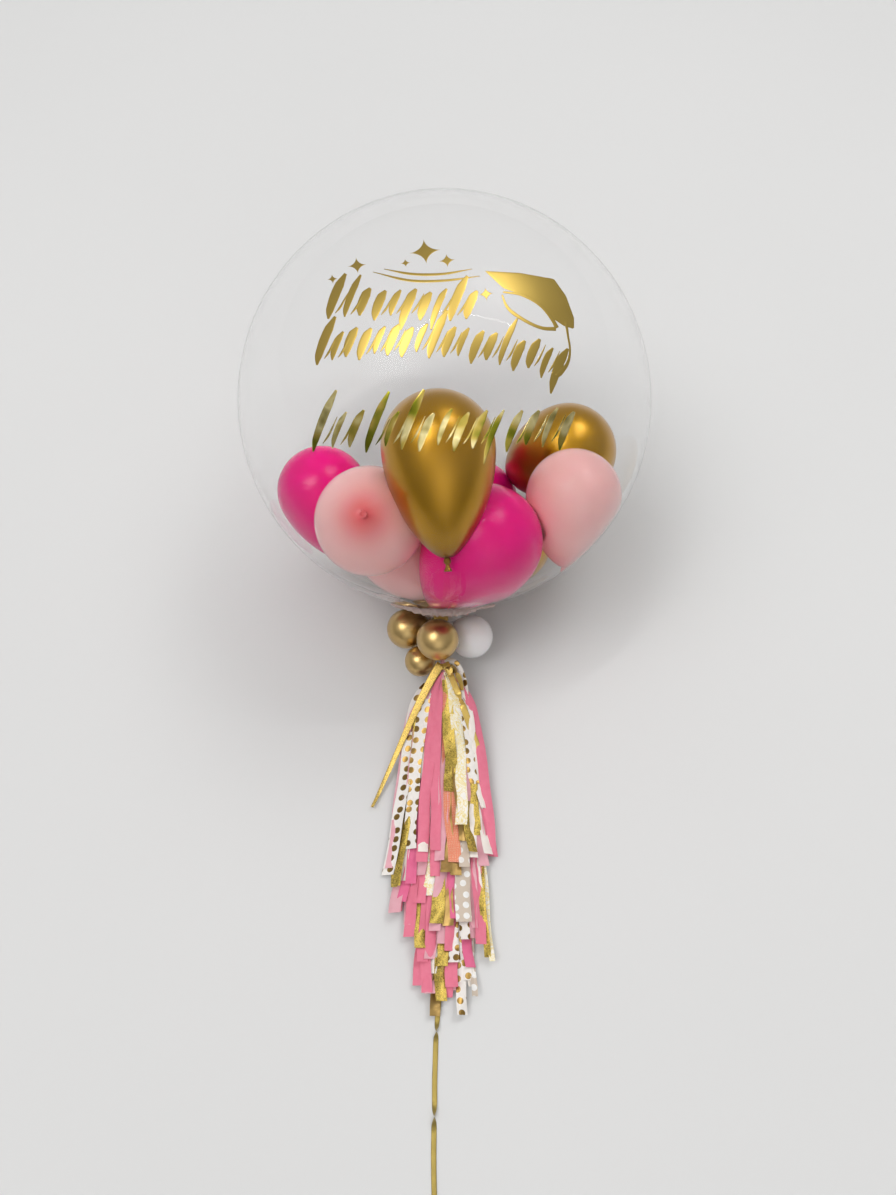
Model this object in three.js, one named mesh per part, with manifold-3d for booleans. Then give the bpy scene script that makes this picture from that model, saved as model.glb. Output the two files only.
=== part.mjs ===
// Clear bubble balloon with mini balloons and a paper-strip tassel, lying on a floor.
// Millimetres, +Z up. The origin is the middle of the flat spot that the bubble lies on.
// The neck points along -Y and down to the floor, and the tassel lies out along -Y.

import * as THREE from 'three';
import { mergeVertices } from 'three/addons/utils/BufferGeometryUtils.js';
import Module from 'manifold-3d';

// Clearances
const GAP = 0.3; // between pieces that touch
const FLOOR_GAP = 0.3; // under paper that lies on the floor

// Bubble: a stretched clear film blown to a sphere, solid here because it is sealed
const BUBBLE_DIAMETER = 500;
const REST_FLAT_RADIUS = 36; // the film flattens where it lies on the floor
const COLLAR_RADIUS = 52; // the pleated disc of film round the neck
const COLLAR_THICKNESS = 7;
const COLLAR_LIP = 2; // the collar's rim bulges out and in by this much
const NECK_RADIUS = 6;
const TIE_REACH = 22; // from the bubble's surface out to the middle of the tie
const NECK_TAIL = 9; // loose film past the tie
const NECK_TAIL_RADIUS = 8;
const NECK_TAIL_HOLLOW = 3; // the tail's end dips in
const NECK_TURN_DEG = 1.4; // the neck points a little to the left

// Tie round the neck, and the strand from it to the tassel
const TIE_LENGTH = 9;
const TIE_RADIUS = 10;
const TIE_BULGE = 1.5; // the winding is fuller in its middle
const STRAND_RADIUS = 2.5;
const STRAND_BEND = { side: -10, back: 22, drop: 4 }; // where it bends, from the tie

// Mini balloons. Each centre lies one radius and one neck away from where it is tied on,
// along side (to the right), out (along the neck's axis) and up (square to both).
const KNOT_RADIUS = 3;
const MINIS = [
  { name: 'mini_balloon_gold_left', radius: 26.5, neck: 25, side: -46, out: 22, up: -11, gold: true },
  { name: 'mini_balloon_gold_front', radius: 27, neck: 20, side: -3, out: 15, up: 42, gold: true },
  { name: 'mini_balloon_white_right', radius: 29, neck: 20, side: 37, out: 26, up: -4, gold: false },
];
// The smallest is tied to the strand.
const STRAND_MINI = { radius: 20.5, neck: 20, side: -17, out: 38, up: 7 };
// One more sits behind the neck, between the bubble and the floor, and holds the neck up.
const PROP_RADIUS = 27;
const PROP_DROP = 37.5; // from the tie down to its centre
const PROP_SIDE = 0;
const PROP_BACK = 20; // from the tie back under the bubble

// Tassel: three bunches of paper strips on one strand, each lying on the next
const HEAD_DISTANCE = 52; // from the tie to the first bunch, along the floor
const HEAD_HEIGHT = 48;
const HEAD_SHIFT = 3; // the tassel's line lies this far right of the tie
const TWIST_RADIUS = 6; // the twisted top of a bunch
const TWIST_LENGTH = 22;
const TWIST_RUN_IN = 6; // the twist runs on into the strips
const TWIST_CONE = 2;
const STRIP_WIDTH = 13;
const STRIP_THICKNESS = 1.2;
const SPINE_RADIUS = 3; // the strand inside the bunches
const FLARE_LENGTH = 18; // how soon the strips spread out below a twist
const FALL_LENGTH = 80; // how soon they come down to the floor
const SLIT = 0.5; // between strips where they are gathered
const LAYER_STEP = 1.2; // every second strip lies this much higher
const UPPER_REACH = 69; // half width of the upper bunch at its end
const UPPER_LENGTH = 252;
const UPPER_CROWN = 24; // height of its middle strips where they lie
const MIDDLE_START = 97; // from the tassel's top
const MIDDLE_HEIGHT = 12; // of its twist
const MIDDLE_REACH = 62;
const MIDDLE_LENGTH = 240;
const MIDDLE_CROWN = 16;
const LOWER_START = 196;
const LOWER_HEIGHT = 6;
const LOWER_REACH = 40;
const LOWER_LENGTH = 224;
const LOWER_CROWN = 9.5;
const BUNCHES = [
  {
    name: 'tassel_upper', strips: 11, start: 0, height: HEAD_HEIGHT,
    reach: UPPER_REACH, length: UPPER_LENGTH, crown: UPPER_CROWN, phase: 0,
  },
  {
    name: 'tassel_middle', strips: 9, start: MIDDLE_START, height: MIDDLE_HEIGHT,
    reach: MIDDLE_REACH, length: MIDDLE_LENGTH, crown: MIDDLE_CROWN, phase: 2.75,
  },
  {
    name: 'tassel_lower', strips: 7, start: LOWER_START, height: LOWER_HEIGHT,
    reach: LOWER_REACH, length: LOWER_LENGTH, crown: LOWER_CROWN, phase: 1.22,
  },
];
const DOME_WIDTH = 74; // half width of the heap where its crown has come down by DOME_SHARE
const DOME_SHARE = 0.8;
const END_RAGGED = 17; // strips end this much earlier or later, in a wave that has a phase
const RAGGED_STEP = 2.3; // radians from one strip to the next

// Ribbon tails tied in at the top of the tassel
const KNOT_BAND_RADIUS = 9.5;
const KNOT_BAND_BULGE = 1;
const KNOT_BAND_LENGTH = 8;
const KNOT_BAND_START = 11; // from the top of the twist
const TAIL_THICKNESS = 0.8;
const TAIL_LIFT = 3.4; // a tail lies this far over the strips' middle layer
const GLITTER_TAIL_WIDTH = 11;
const SATIN_TAIL_WIDTH = 8;
const GLITTER_TAIL_END = { side: -90, out: 186 };
const SATIN_TAIL_END = { side: 45, out: 118 };

// Tether ribbon, from the lowest bunch to the loop at its end
const RIBBON_DIAMETER = 6;
const RIBBON_HEIGHT = 3.3; // of its middle over the floor
const RIBBON_ROUTE = [
  [-5, -643], [-6, -660], [-7.5, -678], [-9, -696], [-10, -714], [-10.5, -732], [-11, -750],
  [-11, -768], [-11.2, -786], [-11.5, -804], [-11.7, -822], [-11.5, -840], [-11, -858],
  [-10.5, -872], [-10, -886],
];
const LOOP_RADIUS = 16;
const LOOP_BAND = 6;
const LOOP_THICKNESS = 1.6;
const LOOP_KNOT_RADIUS = 5;

const wasm = await Module();
wasm.setup();

const up = new THREE.Vector3(0, 0, 1);

function toSolid(geometry) {
  const bare = geometry.index ? geometry.toNonIndexed() : geometry.clone();
  bare.deleteAttribute('normal');
  bare.deleteAttribute('uv');
  const welded = mergeVertices(bare, 1e-3);
  return new wasm.Manifold(new wasm.Mesh({
    numProp: 3,
    vertProperties: new Float32Array(welded.attributes.position.array),
    triVerts: new Uint32Array(welded.index.array),
  }));
}

function toGeometry(solid) {
  const mesh = solid.getMesh();
  const geometry = new THREE.BufferGeometry();
  geometry.setAttribute('position', new THREE.BufferAttribute(new Float32Array(mesh.vertProperties), 3));
  geometry.setIndex(new THREE.BufferAttribute(new Uint32Array(mesh.triVerts), 1));
  geometry.computeVertexNormals();
  return geometry;
}

function joined(geometries) {
  return toGeometry(geometries.map(toSolid).reduce((all, next) => all.add(next)));
}

// Turns a lathe's own axis (+Y) into a direction and moves its origin to a place.
function alongAxis(geometry, direction, place) {
  const turn = new THREE.Quaternion().setFromUnitVectors(new THREE.Vector3(0, 1, 0), direction);
  return geometry.applyQuaternion(turn).translate(place.x, place.y, place.z);
}

function lathe(points, sides) {
  return new THREE.LatheGeometry(points.map(([r, a]) => new THREE.Vector2(r, a)), sides);
}

function tube(points, radius, sides, steps) {
  const circle = new THREE.Shape();
  for (let i = 0; i < sides; i += 1) {
    const angle = (i / sides) * 2 * Math.PI;
    circle[i ? 'lineTo' : 'moveTo'](radius * Math.cos(angle), radius * Math.sin(angle));
  }
  const path = new THREE.CatmullRomCurve3(points);
  return new THREE.ExtrudeGeometry(circle, { steps, extrudePath: path, bevelEnabled: false });
}

function material(color, roughness, metalness, opacity = 1) {
  return new THREE.MeshStandardMaterial({
    color, roughness, metalness, opacity, transparent: opacity < 1,
  });
}

const CLEAR_FILM = material('#eef2f2', 0.05, 0, 0.25);
const GOLD_LATEX = material('#b98f3f', 0.28, 0.9);
const WHITE_LATEX = material('#f4f2f0', 0.25, 0);
const CLEAR_TIE = material('#d9c9a0', 0.5, 0);
const PINK_PAPER = material('#e98fae', 0.8, 0);
const ROSE_PAPER = material('#f0b6c4', 0.8, 0);
const CREAM_PAPER = material('#efe3d2', 0.7, 0);
const GOLD_GLITTER = material('#c9a545', 0.5, 0.6);
const GOLD_SATIN = material('#c7a14a', 0.3, 0.7);

function part(name, geometry, finish) {
  const mesh = new THREE.Mesh(geometry, finish);
  mesh.name = name;
  return mesh;
}

// Where the bubble and its neck are
const bubbleRadius = BUBBLE_DIAMETER / 2;
const bubbleCentre = new THREE.Vector3(0, 0, Math.sqrt(bubbleRadius ** 2 - REST_FLAT_RADIUS ** 2));
const tieDistance = bubbleRadius + TIE_REACH;
const tieHeight = PROP_RADIUS + PROP_DROP;
const neckDrop = Math.asin((bubbleCentre.z - tieHeight) / tieDistance);
const neckTurn = THREE.MathUtils.degToRad(NECK_TURN_DEG);
const neckAxis = new THREE.Vector3(
  -Math.cos(neckDrop) * Math.sin(neckTurn),
  -Math.cos(neckDrop) * Math.cos(neckTurn),
  -Math.sin(neckDrop),
);
const neckSide = new THREE.Vector3().crossVectors(up, neckAxis).normalize();
const neckUp = new THREE.Vector3().crossVectors(neckAxis, neckSide).normalize();
const tiePoint = bubbleCentre.clone().addScaledVector(neckAxis, tieDistance);
const strandBend = tiePoint.clone().add(
  new THREE.Vector3(STRAND_BEND.side, -STRAND_BEND.back, -STRAND_BEND.drop),
);

// The profile runs from the far pole round to the collar, the neck and its loose tail.
function bubble() {
  const profile = [];
  const bands = 24;
  const collarAngle = Math.PI - Math.asin(COLLAR_RADIUS / bubbleRadius);
  for (let i = 0; i <= bands; i += 1) {
    const angle = (i / bands) * collarAngle;
    profile.push([bubbleRadius * Math.sin(angle), -bubbleRadius * Math.cos(angle)]);
  }
  const rim = profile[bands][1];
  const tieBack = tieDistance - TIE_LENGTH / 2 - GAP;
  profile.push([COLLAR_RADIUS + COLLAR_LIP, rim + COLLAR_THICKNESS * 0.5]);
  profile.push([COLLAR_RADIUS - COLLAR_LIP, rim + COLLAR_THICKNESS * 0.9]);
  profile.push([COLLAR_RADIUS / 2, rim + COLLAR_THICKNESS]);
  profile.push([NECK_RADIUS * 1.6, rim + COLLAR_THICKNESS * 1.3]);
  profile.push([NECK_RADIUS, tieBack]);
  profile.push([NECK_RADIUS, tieDistance + TIE_LENGTH / 2 + GAP]);
  profile.push([NECK_TAIL_RADIUS, tieDistance + TIE_LENGTH / 2 + NECK_TAIL]);
  profile.push([0, tieDistance + TIE_LENGTH / 2 + NECK_TAIL - NECK_TAIL_HOLLOW]);
  profile[0] = [0, -bubbleRadius];
  const round = alongAxis(lathe(profile, 42), neckAxis, bubbleCentre);
  const slab = new THREE.BoxGeometry(BUBBLE_DIAMETER, BUBBLE_DIAMETER, bubbleRadius);
  slab.translate(0, 0, -bubbleRadius / 2);
  return part('bubble', toGeometry(toSolid(round).subtract(toSolid(slab))), CLEAR_FILM);
}

// A round balloon with its neck and knot reaching to a clearance from where it is tied on
function balloon(radius, centre, target, clearance) {
  const arc = 9;
  const shoulder = Math.PI * 0.86;
  const reach = centre.distanceTo(target) - clearance - GAP;
  const profile = [[0, -radius]];
  for (let i = 1; i <= arc; i += 1) {
    const angle = (i / arc) * shoulder;
    profile.push([radius * Math.sin(angle), -radius * Math.cos(angle)]);
  }
  const knotStart = Math.max(radius * 1.06, reach - KNOT_RADIUS * 2);
  profile.push([KNOT_RADIUS * 0.7, knotStart]);
  profile.push([KNOT_RADIUS, (knotStart + reach) / 2]);
  profile.push([0, reach]);
  return alongAxis(lathe(profile, 16), target.clone().sub(centre).normalize(), centre);
}

// The centre of a mini balloon tied on at a place
function miniCentre({ radius, neck, side, out, up: rise }, target) {
  const direction = neckSide.clone().multiplyScalar(side)
    .addScaledVector(neckAxis, out).addScaledVector(neckUp, rise).normalize();
  return target.clone().addScaledVector(direction, radius + neck);
}

function miniBalloons() {
  const list = MINIS.map((mini) => {
    const body = balloon(mini.radius, miniCentre(mini, tiePoint), tiePoint, TIE_RADIUS);
    return part(mini.name, body, mini.gold ? GOLD_LATEX : WHITE_LATEX);
  });
  const strandClear = 1.6 * STRAND_RADIUS;
  const small = balloon(STRAND_MINI.radius, miniCentre(STRAND_MINI, strandBend), strandBend, strandClear);
  const propCentre = new THREE.Vector3(tiePoint.x + PROP_SIDE, tiePoint.y + PROP_BACK, PROP_RADIUS);
  const prop = balloon(PROP_RADIUS, propCentre, tiePoint, TIE_RADIUS);
  list.push(part('mini_balloon_gold_small', small, GOLD_LATEX));
  list.push(part('mini_balloon_white_back', prop, WHITE_LATEX));
  return list;
}

const tasselX = tiePoint.x + HEAD_SHIFT;
const tasselY = tiePoint.y - HEAD_DISTANCE;

// The ribbon wound round the neck, and its strand running on to the tassel
function neckTie() {
  const half = TIE_LENGTH / 2;
  const inner = NECK_RADIUS + GAP;
  const ring = lathe([
    [inner, -half], [TIE_RADIUS - TIE_BULGE, -half], [TIE_RADIUS, 0],
    [TIE_RADIUS - TIE_BULGE, half], [inner, half], [inner, -half],
  ], 20);
  const wrap = alongAxis(ring, neckAxis, tiePoint);
  const wallMiddle = inner + STRAND_RADIUS;
  const start = tiePoint.clone()
    .addScaledVector(neckSide, -wallMiddle * Math.SQRT1_2)
    .addScaledVector(neckUp, wallMiddle * Math.SQRT1_2);
  const end = new THREE.Vector3(tasselX, tasselY + 2 * GAP, HEAD_HEIGHT);
  const beforeEnd = new THREE.Vector3(tasselX, end.y + 2 * STRAND_RADIUS, HEAD_HEIGHT);
  const strand = tube([start, strandBend, beforeEnd, end], STRAND_RADIUS, 8, 10);
  return part('neck_tie', joined([wrap, strand]), CLEAR_TIE);
}

// Height of a bunch's middle layer over the floor, at a place beside its line and a
// distance past its twist: a low dome, reached by falling away from the twist.
function layerHeight(bunch, beside, past) {
  const dome = bunch.crown * (1 - DOME_SHARE * (beside / DOME_WIDTH) ** 2);
  const fall = (bunch.height - bunch.crown) * Math.exp(-((past / FALL_LENGTH) ** 2));
  return Math.max(dome + fall, FLOOR_GAP + STRIP_THICKNESS / 2);
}

// How far the strips have spread sideways at a distance past the twist, from 0 to about 1
function spreadShare(bunch, past, length) {
  const start = (0.7 * TWIST_RADIUS) / bunch.reach;
  const opened = 0.5 * (1 - Math.exp(-past / FLARE_LENGTH)) + (0.5 * past) / length;
  return start + (1 - start) * opened;
}

// One strip is a thin box whose points are carried onto the bunch's dome. It is gathered
// narrow in the twist and stays clear of the strips beside it.
function strip(bunch, index) {
  const place = (2 * index) / (bunch.strips - 1) - 1;
  const lift = index % 2 ? LAYER_STEP : 0;
  const length = bunch.length - TWIST_LENGTH + END_RAGGED * Math.sin(index * RAGGED_STEP + bunch.phase);
  const geometry = new THREE.BoxGeometry(1, length, STRIP_THICKNESS, 1, 9, 1);
  const points = geometry.attributes.position;
  for (let i = 0; i < points.count; i += 1) {
    const past = length / 2 - points.getY(i);
    const spread = bunch.reach * spreadShare(bunch, past, length);
    const width = Math.min(STRIP_WIDTH, (2 * spread) / (bunch.strips - 1) - SLIT);
    const beside = spread * place + width * points.getX(i);
    const height = layerHeight(bunch, beside, past) + lift + points.getZ(i);
    points.setXYZ(i, tasselX + beside, tasselY - bunch.start - TWIST_LENGTH - past, height);
  }
  return geometry;
}

// The strand inside a bunch, from its twist to the next bunch or to the tether ribbon
function spine(bunch, next) {
  const from = tasselY - bunch.start;
  const to = next ? tasselY - next.start + GAP : RIBBON_ROUTE[0][1] + GAP;
  const endX = next ? tasselX : RIBBON_ROUTE[0][0];
  const endHeight = next ? next.height : RIBBON_HEIGHT;
  const length = from - to;
  return tube([
    new THREE.Vector3(tasselX, from - TWIST_LENGTH, bunch.height),
    new THREE.Vector3(tasselX, from - length * 0.5, (bunch.height + endHeight) / 2),
    new THREE.Vector3(endX, to + length * 0.1, endHeight),
    new THREE.Vector3(endX, to, endHeight),
  ], SPINE_RADIUS, 8, 8);
}

function bunchOfStrips(bunch, next, finish) {
  const radius = Math.min(TWIST_RADIUS, bunch.height - FLOOR_GAP);
  const twist = alongAxis(lathe([
    [0, 0], [radius * 0.6, 0], [radius * 0.8, TWIST_LENGTH * 0.3], [radius, TWIST_LENGTH * 0.7],
    [radius, TWIST_LENGTH + TWIST_RUN_IN], [0, TWIST_LENGTH + TWIST_RUN_IN + TWIST_CONE],
  ], 12), new THREE.Vector3(0, -1, 0), new THREE.Vector3(tasselX, tasselY - bunch.start, bunch.height));
  const pieces = [twist, spine(bunch, next)];
  for (let i = 0; i < bunch.strips; i += 1) {
    pieces.push(strip(bunch, i));
  }
  return part(bunch.name, joined(pieces), finish);
}

// A ribbon tail lies over the upper bunch, from the wound band to its end beside or on the strips.
function tail(width, start, end) {
  const upper = BUNCHES[0];
  const run = end.out - start.out;
  const geometry = new THREE.BoxGeometry(width, run, TAIL_THICKNESS, 1, 12, 1);
  const points = geometry.attributes.position;
  const startLift = (KNOT_BAND_RADIUS + TWIST_RADIUS + GAP) / 2 - TAIL_LIFT;
  for (let i = 0; i < points.count; i += 1) {
    const share = 0.5 - points.getY(i) / run;
    const beside = start.side + (end.side - start.side) * share ** 0.9 + points.getX(i);
    const out = start.out + run * share;
    const height = layerHeight(upper, beside, Math.max(0, out - TWIST_LENGTH));
    const lift = TAIL_LIFT + startLift * Math.exp(-share * 4);
    points.setXYZ(i, tasselX + beside, tasselY - out, height + lift + points.getZ(i));
  }
  return geometry;
}

// The satin ribbon is wound round the twist and knotted, and the glitter ribbon starts beside it.
function ribbonTails() {
  const inner = TWIST_RADIUS + GAP;
  const band = alongAxis(lathe([
    [inner, 0], [KNOT_BAND_RADIUS - KNOT_BAND_BULGE, 0], [KNOT_BAND_RADIUS, KNOT_BAND_LENGTH / 2],
    [KNOT_BAND_RADIUS - KNOT_BAND_BULGE, KNOT_BAND_LENGTH], [inner, KNOT_BAND_LENGTH], [inner, 0],
  ], 16), new THREE.Vector3(0, -1, 0),
  new THREE.Vector3(tasselX, tasselY - KNOT_BAND_START, HEAD_HEIGHT));
  const satinStart = { side: SATIN_TAIL_WIDTH / 4, out: KNOT_BAND_START + KNOT_BAND_LENGTH / 2 };
  const glitterStart = {
    side: -(SATIN_TAIL_WIDTH / 4 + GLITTER_TAIL_WIDTH / 2 + GAP),
    out: KNOT_BAND_START + KNOT_BAND_LENGTH + GAP,
  };
  const satin = tail(SATIN_TAIL_WIDTH, satinStart, SATIN_TAIL_END);
  const glitter = tail(GLITTER_TAIL_WIDTH, glitterStart, GLITTER_TAIL_END);
  return [
    part('ribbon_tail_satin', joined([band, satin]), GOLD_SATIN),
    part('ribbon_tail_glitter', joined([glitter]), GOLD_GLITTER),
  ];
}

function tether() {
  const route = RIBBON_ROUTE.map(([x, y]) => new THREE.Vector3(x, y, RIBBON_HEIGHT));
  return part('tether_ribbon', tube(route, RIBBON_DIAMETER / 2, 8, 14), GOLD_SATIN);
}

// The loop that a weight or a clip is tied to, lying flat on the floor past its knot
function tetherLoop() {
  const [x, y] = RIBBON_ROUTE[RIBBON_ROUTE.length - 1];
  const knot = new THREE.SphereGeometry(LOOP_KNOT_RADIUS, 12, 7);
  knot.translate(x, y - GAP - LOOP_KNOT_RADIUS, LOOP_KNOT_RADIUS + FLOOR_GAP);
  const outline = new THREE.Shape().absarc(0, 0, LOOP_RADIUS, 0, 2 * Math.PI);
  outline.holes.push(new THREE.Path().absarc(0, 0, LOOP_RADIUS - LOOP_BAND, 0, 2 * Math.PI, true));
  const loop = new THREE.ExtrudeGeometry(outline, {
    depth: LOOP_THICKNESS, curveSegments: 16, bevelEnabled: false,
  });
  loop.translate(x, y - 2 * LOOP_KNOT_RADIUS - LOOP_RADIUS + LOOP_BAND / 2, FLOOR_GAP);
  return part('tether_loop', joined([knot, loop]), GOLD_SATIN);
}

const tassel = new THREE.Group();
tassel.add(bunchOfStrips(BUNCHES[0], BUNCHES[1], PINK_PAPER));
tassel.add(bunchOfStrips(BUNCHES[1], BUNCHES[2], ROSE_PAPER));
tassel.add(bunchOfStrips(BUNCHES[2], null, CREAM_PAPER));
tassel.add(...ribbonTails());

const model = new THREE.Group();
model.add(bubble(), neckTie(), ...miniBalloons(), tassel, tether(), tetherLoop());

export default model;
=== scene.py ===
"""Dresses the clear bubble balloon: film, balloons, vinyl ornament, paper tassel, ribbons and stage.

Metres, +Z up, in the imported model's frame. The balloon lies on its flat spot at the origin, its
neck and tassel run out along -Y, and the camera looks down on it from the neck's side.
"""

import math

import bmesh
import bpy
import numpy as np
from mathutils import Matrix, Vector


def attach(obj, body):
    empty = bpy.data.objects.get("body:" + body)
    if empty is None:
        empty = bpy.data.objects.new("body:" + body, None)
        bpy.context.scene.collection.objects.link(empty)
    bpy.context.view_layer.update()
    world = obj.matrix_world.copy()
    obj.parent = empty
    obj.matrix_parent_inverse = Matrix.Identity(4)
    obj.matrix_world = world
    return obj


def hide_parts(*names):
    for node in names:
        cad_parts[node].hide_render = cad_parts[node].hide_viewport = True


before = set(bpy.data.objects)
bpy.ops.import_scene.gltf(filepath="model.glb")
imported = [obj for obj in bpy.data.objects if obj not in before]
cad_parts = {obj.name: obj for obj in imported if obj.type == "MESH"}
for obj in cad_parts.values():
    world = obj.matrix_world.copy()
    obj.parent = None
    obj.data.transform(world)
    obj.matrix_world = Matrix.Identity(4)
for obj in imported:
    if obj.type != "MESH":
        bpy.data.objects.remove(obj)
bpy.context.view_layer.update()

bl_info = {
    "name": "Clear bubble balloon",
    "version": (1, 0, 0),
    "blender": (4, 5, 0),
    "location": "View3D > Sidebar > Balloon",
    "description": "Builds a clear bubble balloon with inner balloons, a paper tassel and ribbons",
    "category": "Add Mesh",
}

MM = 0.001
X_AXIS, Y_AXIS, Z_AXIS = np.eye(3)
SAME_POINT = 1e-6  # points nearer to each other than this are made one
FLOOR_GAP = 0.0003  # the lowest that the film and the twisted tops lie
RIBBON_THICKNESS = 0.0004


def size_field(name, description, default):
    """A size in metres for the panel."""
    return bpy.props.FloatProperty(name=name, description=description, default=default,
                                   unit="LENGTH", subtype="DISTANCE")


def colour_field(name, description, default):
    """A colour for the panel."""
    return bpy.props.FloatVectorProperty(name=name, description=description, default=default,
                                         size=3, subtype="COLOR")


class BubbleSizes(bpy.types.PropertyGroup):
    """Sizes of the bubble and its neck"""

    radius: size_field("Bubble radius", "Radius of the filled film", 0.25)
    film: size_field("Film", "Thickness of the clear film", 0.0009)
    flat_radius: size_field("Flat spot", "Radius of the spot that it lies on", 0.036)
    collar_radius: size_field("Collar", "Radius of the pleated film round the neck", 0.052)
    tie_reach: size_field("Tie reach", "From the sphere out to the tie", 0.022)
    tie_height: size_field("Tie height", "Height of the tie over the floor", 0.0645)
    neck_turn: bpy.props.FloatProperty(
        name="Neck turn", description="How far the neck points to the left",
        default=math.radians(1.4), subtype="ANGLE")


class TasselSizes(bpy.types.PropertyGroup):
    """Sizes of the tassel, its tails and the tether ribbon"""

    strip_thickness: size_field("Strip thickness", "Thickness of a paper strip", 0.00022)
    dome_width: size_field("Dome width", "Half width of the heap of strips", 0.074)
    ribbon_width: size_field("Ribbon width", "Width of the tether ribbon", 0.006)


class BalloonColours(bpy.types.PropertyGroup):
    """Colours of the latex, foil and paper"""

    hot_pink: colour_field("Hot pink", "Latex of the strong pink balloons", (0.84, 0.0, 0.21))
    blush: colour_field("Blush", "Latex of the pale pink balloons", (0.98, 0.52, 0.50))
    gold: colour_field("Gold", "Metallic gold latex", (0.48, 0.245, 0.008))
    vinyl: colour_field("Vinyl gold", "Gold vinyl of the ornament", (0.53, 0.37, 0.09))
    floor: colour_field("Floor", "Pale floor", (0.68, 0.678, 0.672))


# The camera: where the photograph was taken from, moved over the lying balloon

EYE = np.array([0.0042, -0.7335, 1.2653])
PITCH = math.radians(65)
PICTURE_WIDTH, PICTURE_HEIGHT = 896, 1195
FOCAL_PIXELS = 1000.0
SENSOR = 36.0
VIEW_FORWARD = np.array([0.0, math.cos(PITCH), -math.sin(PITCH)])
VIEW_UP = np.array([0.0, math.sin(PITCH), math.cos(PITCH)])


def sizes():
    """The bubble's sizes, as the panel has them."""
    return bpy.context.scene.bubble_sizes


def bubble_centre():
    """The centre's height makes the flat spot's circle lie on the floor."""
    s = sizes()
    return np.array([0.0, 0.0, math.sqrt(s.radius ** 2 - s.flat_radius ** 2)])


def neck_frame():
    """(axis, side, up, tie): the neck's axis drops until the tie is at its height."""
    s = sizes()
    reach = s.radius + s.tie_reach
    drop = math.asin((bubble_centre()[2] - s.tie_height) / reach)
    axis = np.array([
        -math.cos(drop) * math.sin(s.neck_turn),
        -math.cos(drop) * math.cos(s.neck_turn),
        -math.sin(drop),
    ])
    side = np.cross(Z_AXIS, axis)
    side /= np.linalg.norm(side)
    return axis, side, np.cross(axis, side), bubble_centre() + axis * reach


# Meshes from grids

def unit(vectors):
    """Each vector divided by its length."""
    vectors = np.asarray(vectors, float)
    return vectors / np.maximum(np.linalg.norm(vectors, axis=-1, keepdims=True), 1e-12)


def grid_faces(rows, columns, around, start=0):
    """The quads of a grid of rows by columns points; around joins the last column to the first."""
    across = columns if around else columns - 1
    i, j = np.meshgrid(np.arange(rows - 1), np.arange(across), indexing="ij")
    right = (j + 1) % columns
    quads = np.stack([i * columns + j, i * columns + right,
                      (i + 1) * columns + right, (i + 1) * columns + j], axis=-1)
    return quads.reshape(-1, 4) + start


def build(name, grids, around=False, uvs=None, fields=None, outward=False, smooth=True):
    """One mesh object from several grids of points, each (rows, columns, 3). uvs are grids of
    (rows, columns, 2), and fields name point attributes with a grid of numbers for each."""
    points, faces, start = [], [], 0
    for grid in grids:
        rows, columns = grid.shape[:2]
        faces.append(grid_faces(rows, columns, around, start))
        points.append(grid.reshape(-1, 3))
        start += rows * columns
    mesh = bpy.data.meshes.new(name)
    mesh.from_pydata(np.concatenate(points).tolist(), [], np.concatenate(faces).tolist())
    if uvs is not None:
        flat = np.concatenate([uv.reshape(-1, 2) for uv in uvs])
        corner = np.zeros(len(mesh.loops), np.int32)
        mesh.loops.foreach_get("vertex_index", corner)
        places = flat[corner].astype(np.float32).ravel()
        mesh.uv_layers.new(name="along").data.foreach_set("uv", places)
    for field, values in (fields or {}).items():
        flat = np.concatenate([v.reshape(-1) for v in values]).astype(np.float32)
        mesh.attributes.new(field, "FLOAT", "POINT").data.foreach_set("value", flat)
    if around:
        shape = bmesh.new()
        shape.from_mesh(mesh)
        bmesh.ops.remove_doubles(shape, verts=shape.verts, dist=SAME_POINT)
        if outward:
            bmesh.ops.recalc_face_normals(shape, faces=shape.faces)
        shape.to_mesh(mesh)
        shape.free()
    mesh.polygons.foreach_set("use_smooth", [smooth] * len(mesh.polygons))
    piece = bpy.data.objects.new(name, mesh)
    bpy.context.scene.collection.objects.link(piece)
    return piece


def closed(name, grids, **more):
    """A mesh whose grids are joined round, with its faces outwards."""
    return build(name, grids, around=True, outward=True, **more)


def dress(piece, material, slot, *nodes):
    """Gives a finished piece its material, joins it to the root and hides the nodes that it stands
    for; slot is not used.
    """
    piece.data.materials.append(material)
    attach(piece, "root")
    if nodes:
        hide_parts(*nodes)
    return piece


def solidify(piece, thickness, offset=0.0, flat=False):
    """A wall on a sheet, its offset 0 for both sides and -1 for inwards; flat keeps its rim from
    bending the sheet's shading."""
    wall = piece.modifiers.new("wall", "SOLIDIFY")
    wall.thickness = thickness
    wall.offset = offset
    wall.use_rim = True
    if flat:
        shading = piece.modifiers.new("shading", "WEIGHTED_NORMAL")
        shading.mode = "FACE_AREA"
        shading.weight = 100


def turned(profile, axis, side, centre, columns, ripple=None):
    """A profile of (radius, distance along the axis) turned round an axis. ripple takes the
    profile's row share and the angle, as grids, and gives (times the radius, plus along)."""
    profile = np.asarray(profile, float)
    angle = np.linspace(0, 2 * math.pi, columns, endpoint=False)
    share, turn = np.meshgrid(np.linspace(0, 1, len(profile)), angle, indexing="ij")
    radius = np.repeat(profile[:, :1], columns, axis=1)
    along = np.repeat(profile[:, 1:], columns, axis=1)
    if ripple is not None:
        times, plus = ripple(share, turn)
        radius = radius * times
        along = along + plus
    other = np.cross(axis, side)
    ring = np.cos(turn)[..., None] * side + np.sin(turn)[..., None] * other
    return centre + radius[..., None] * ring + along[..., None] * axis


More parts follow.
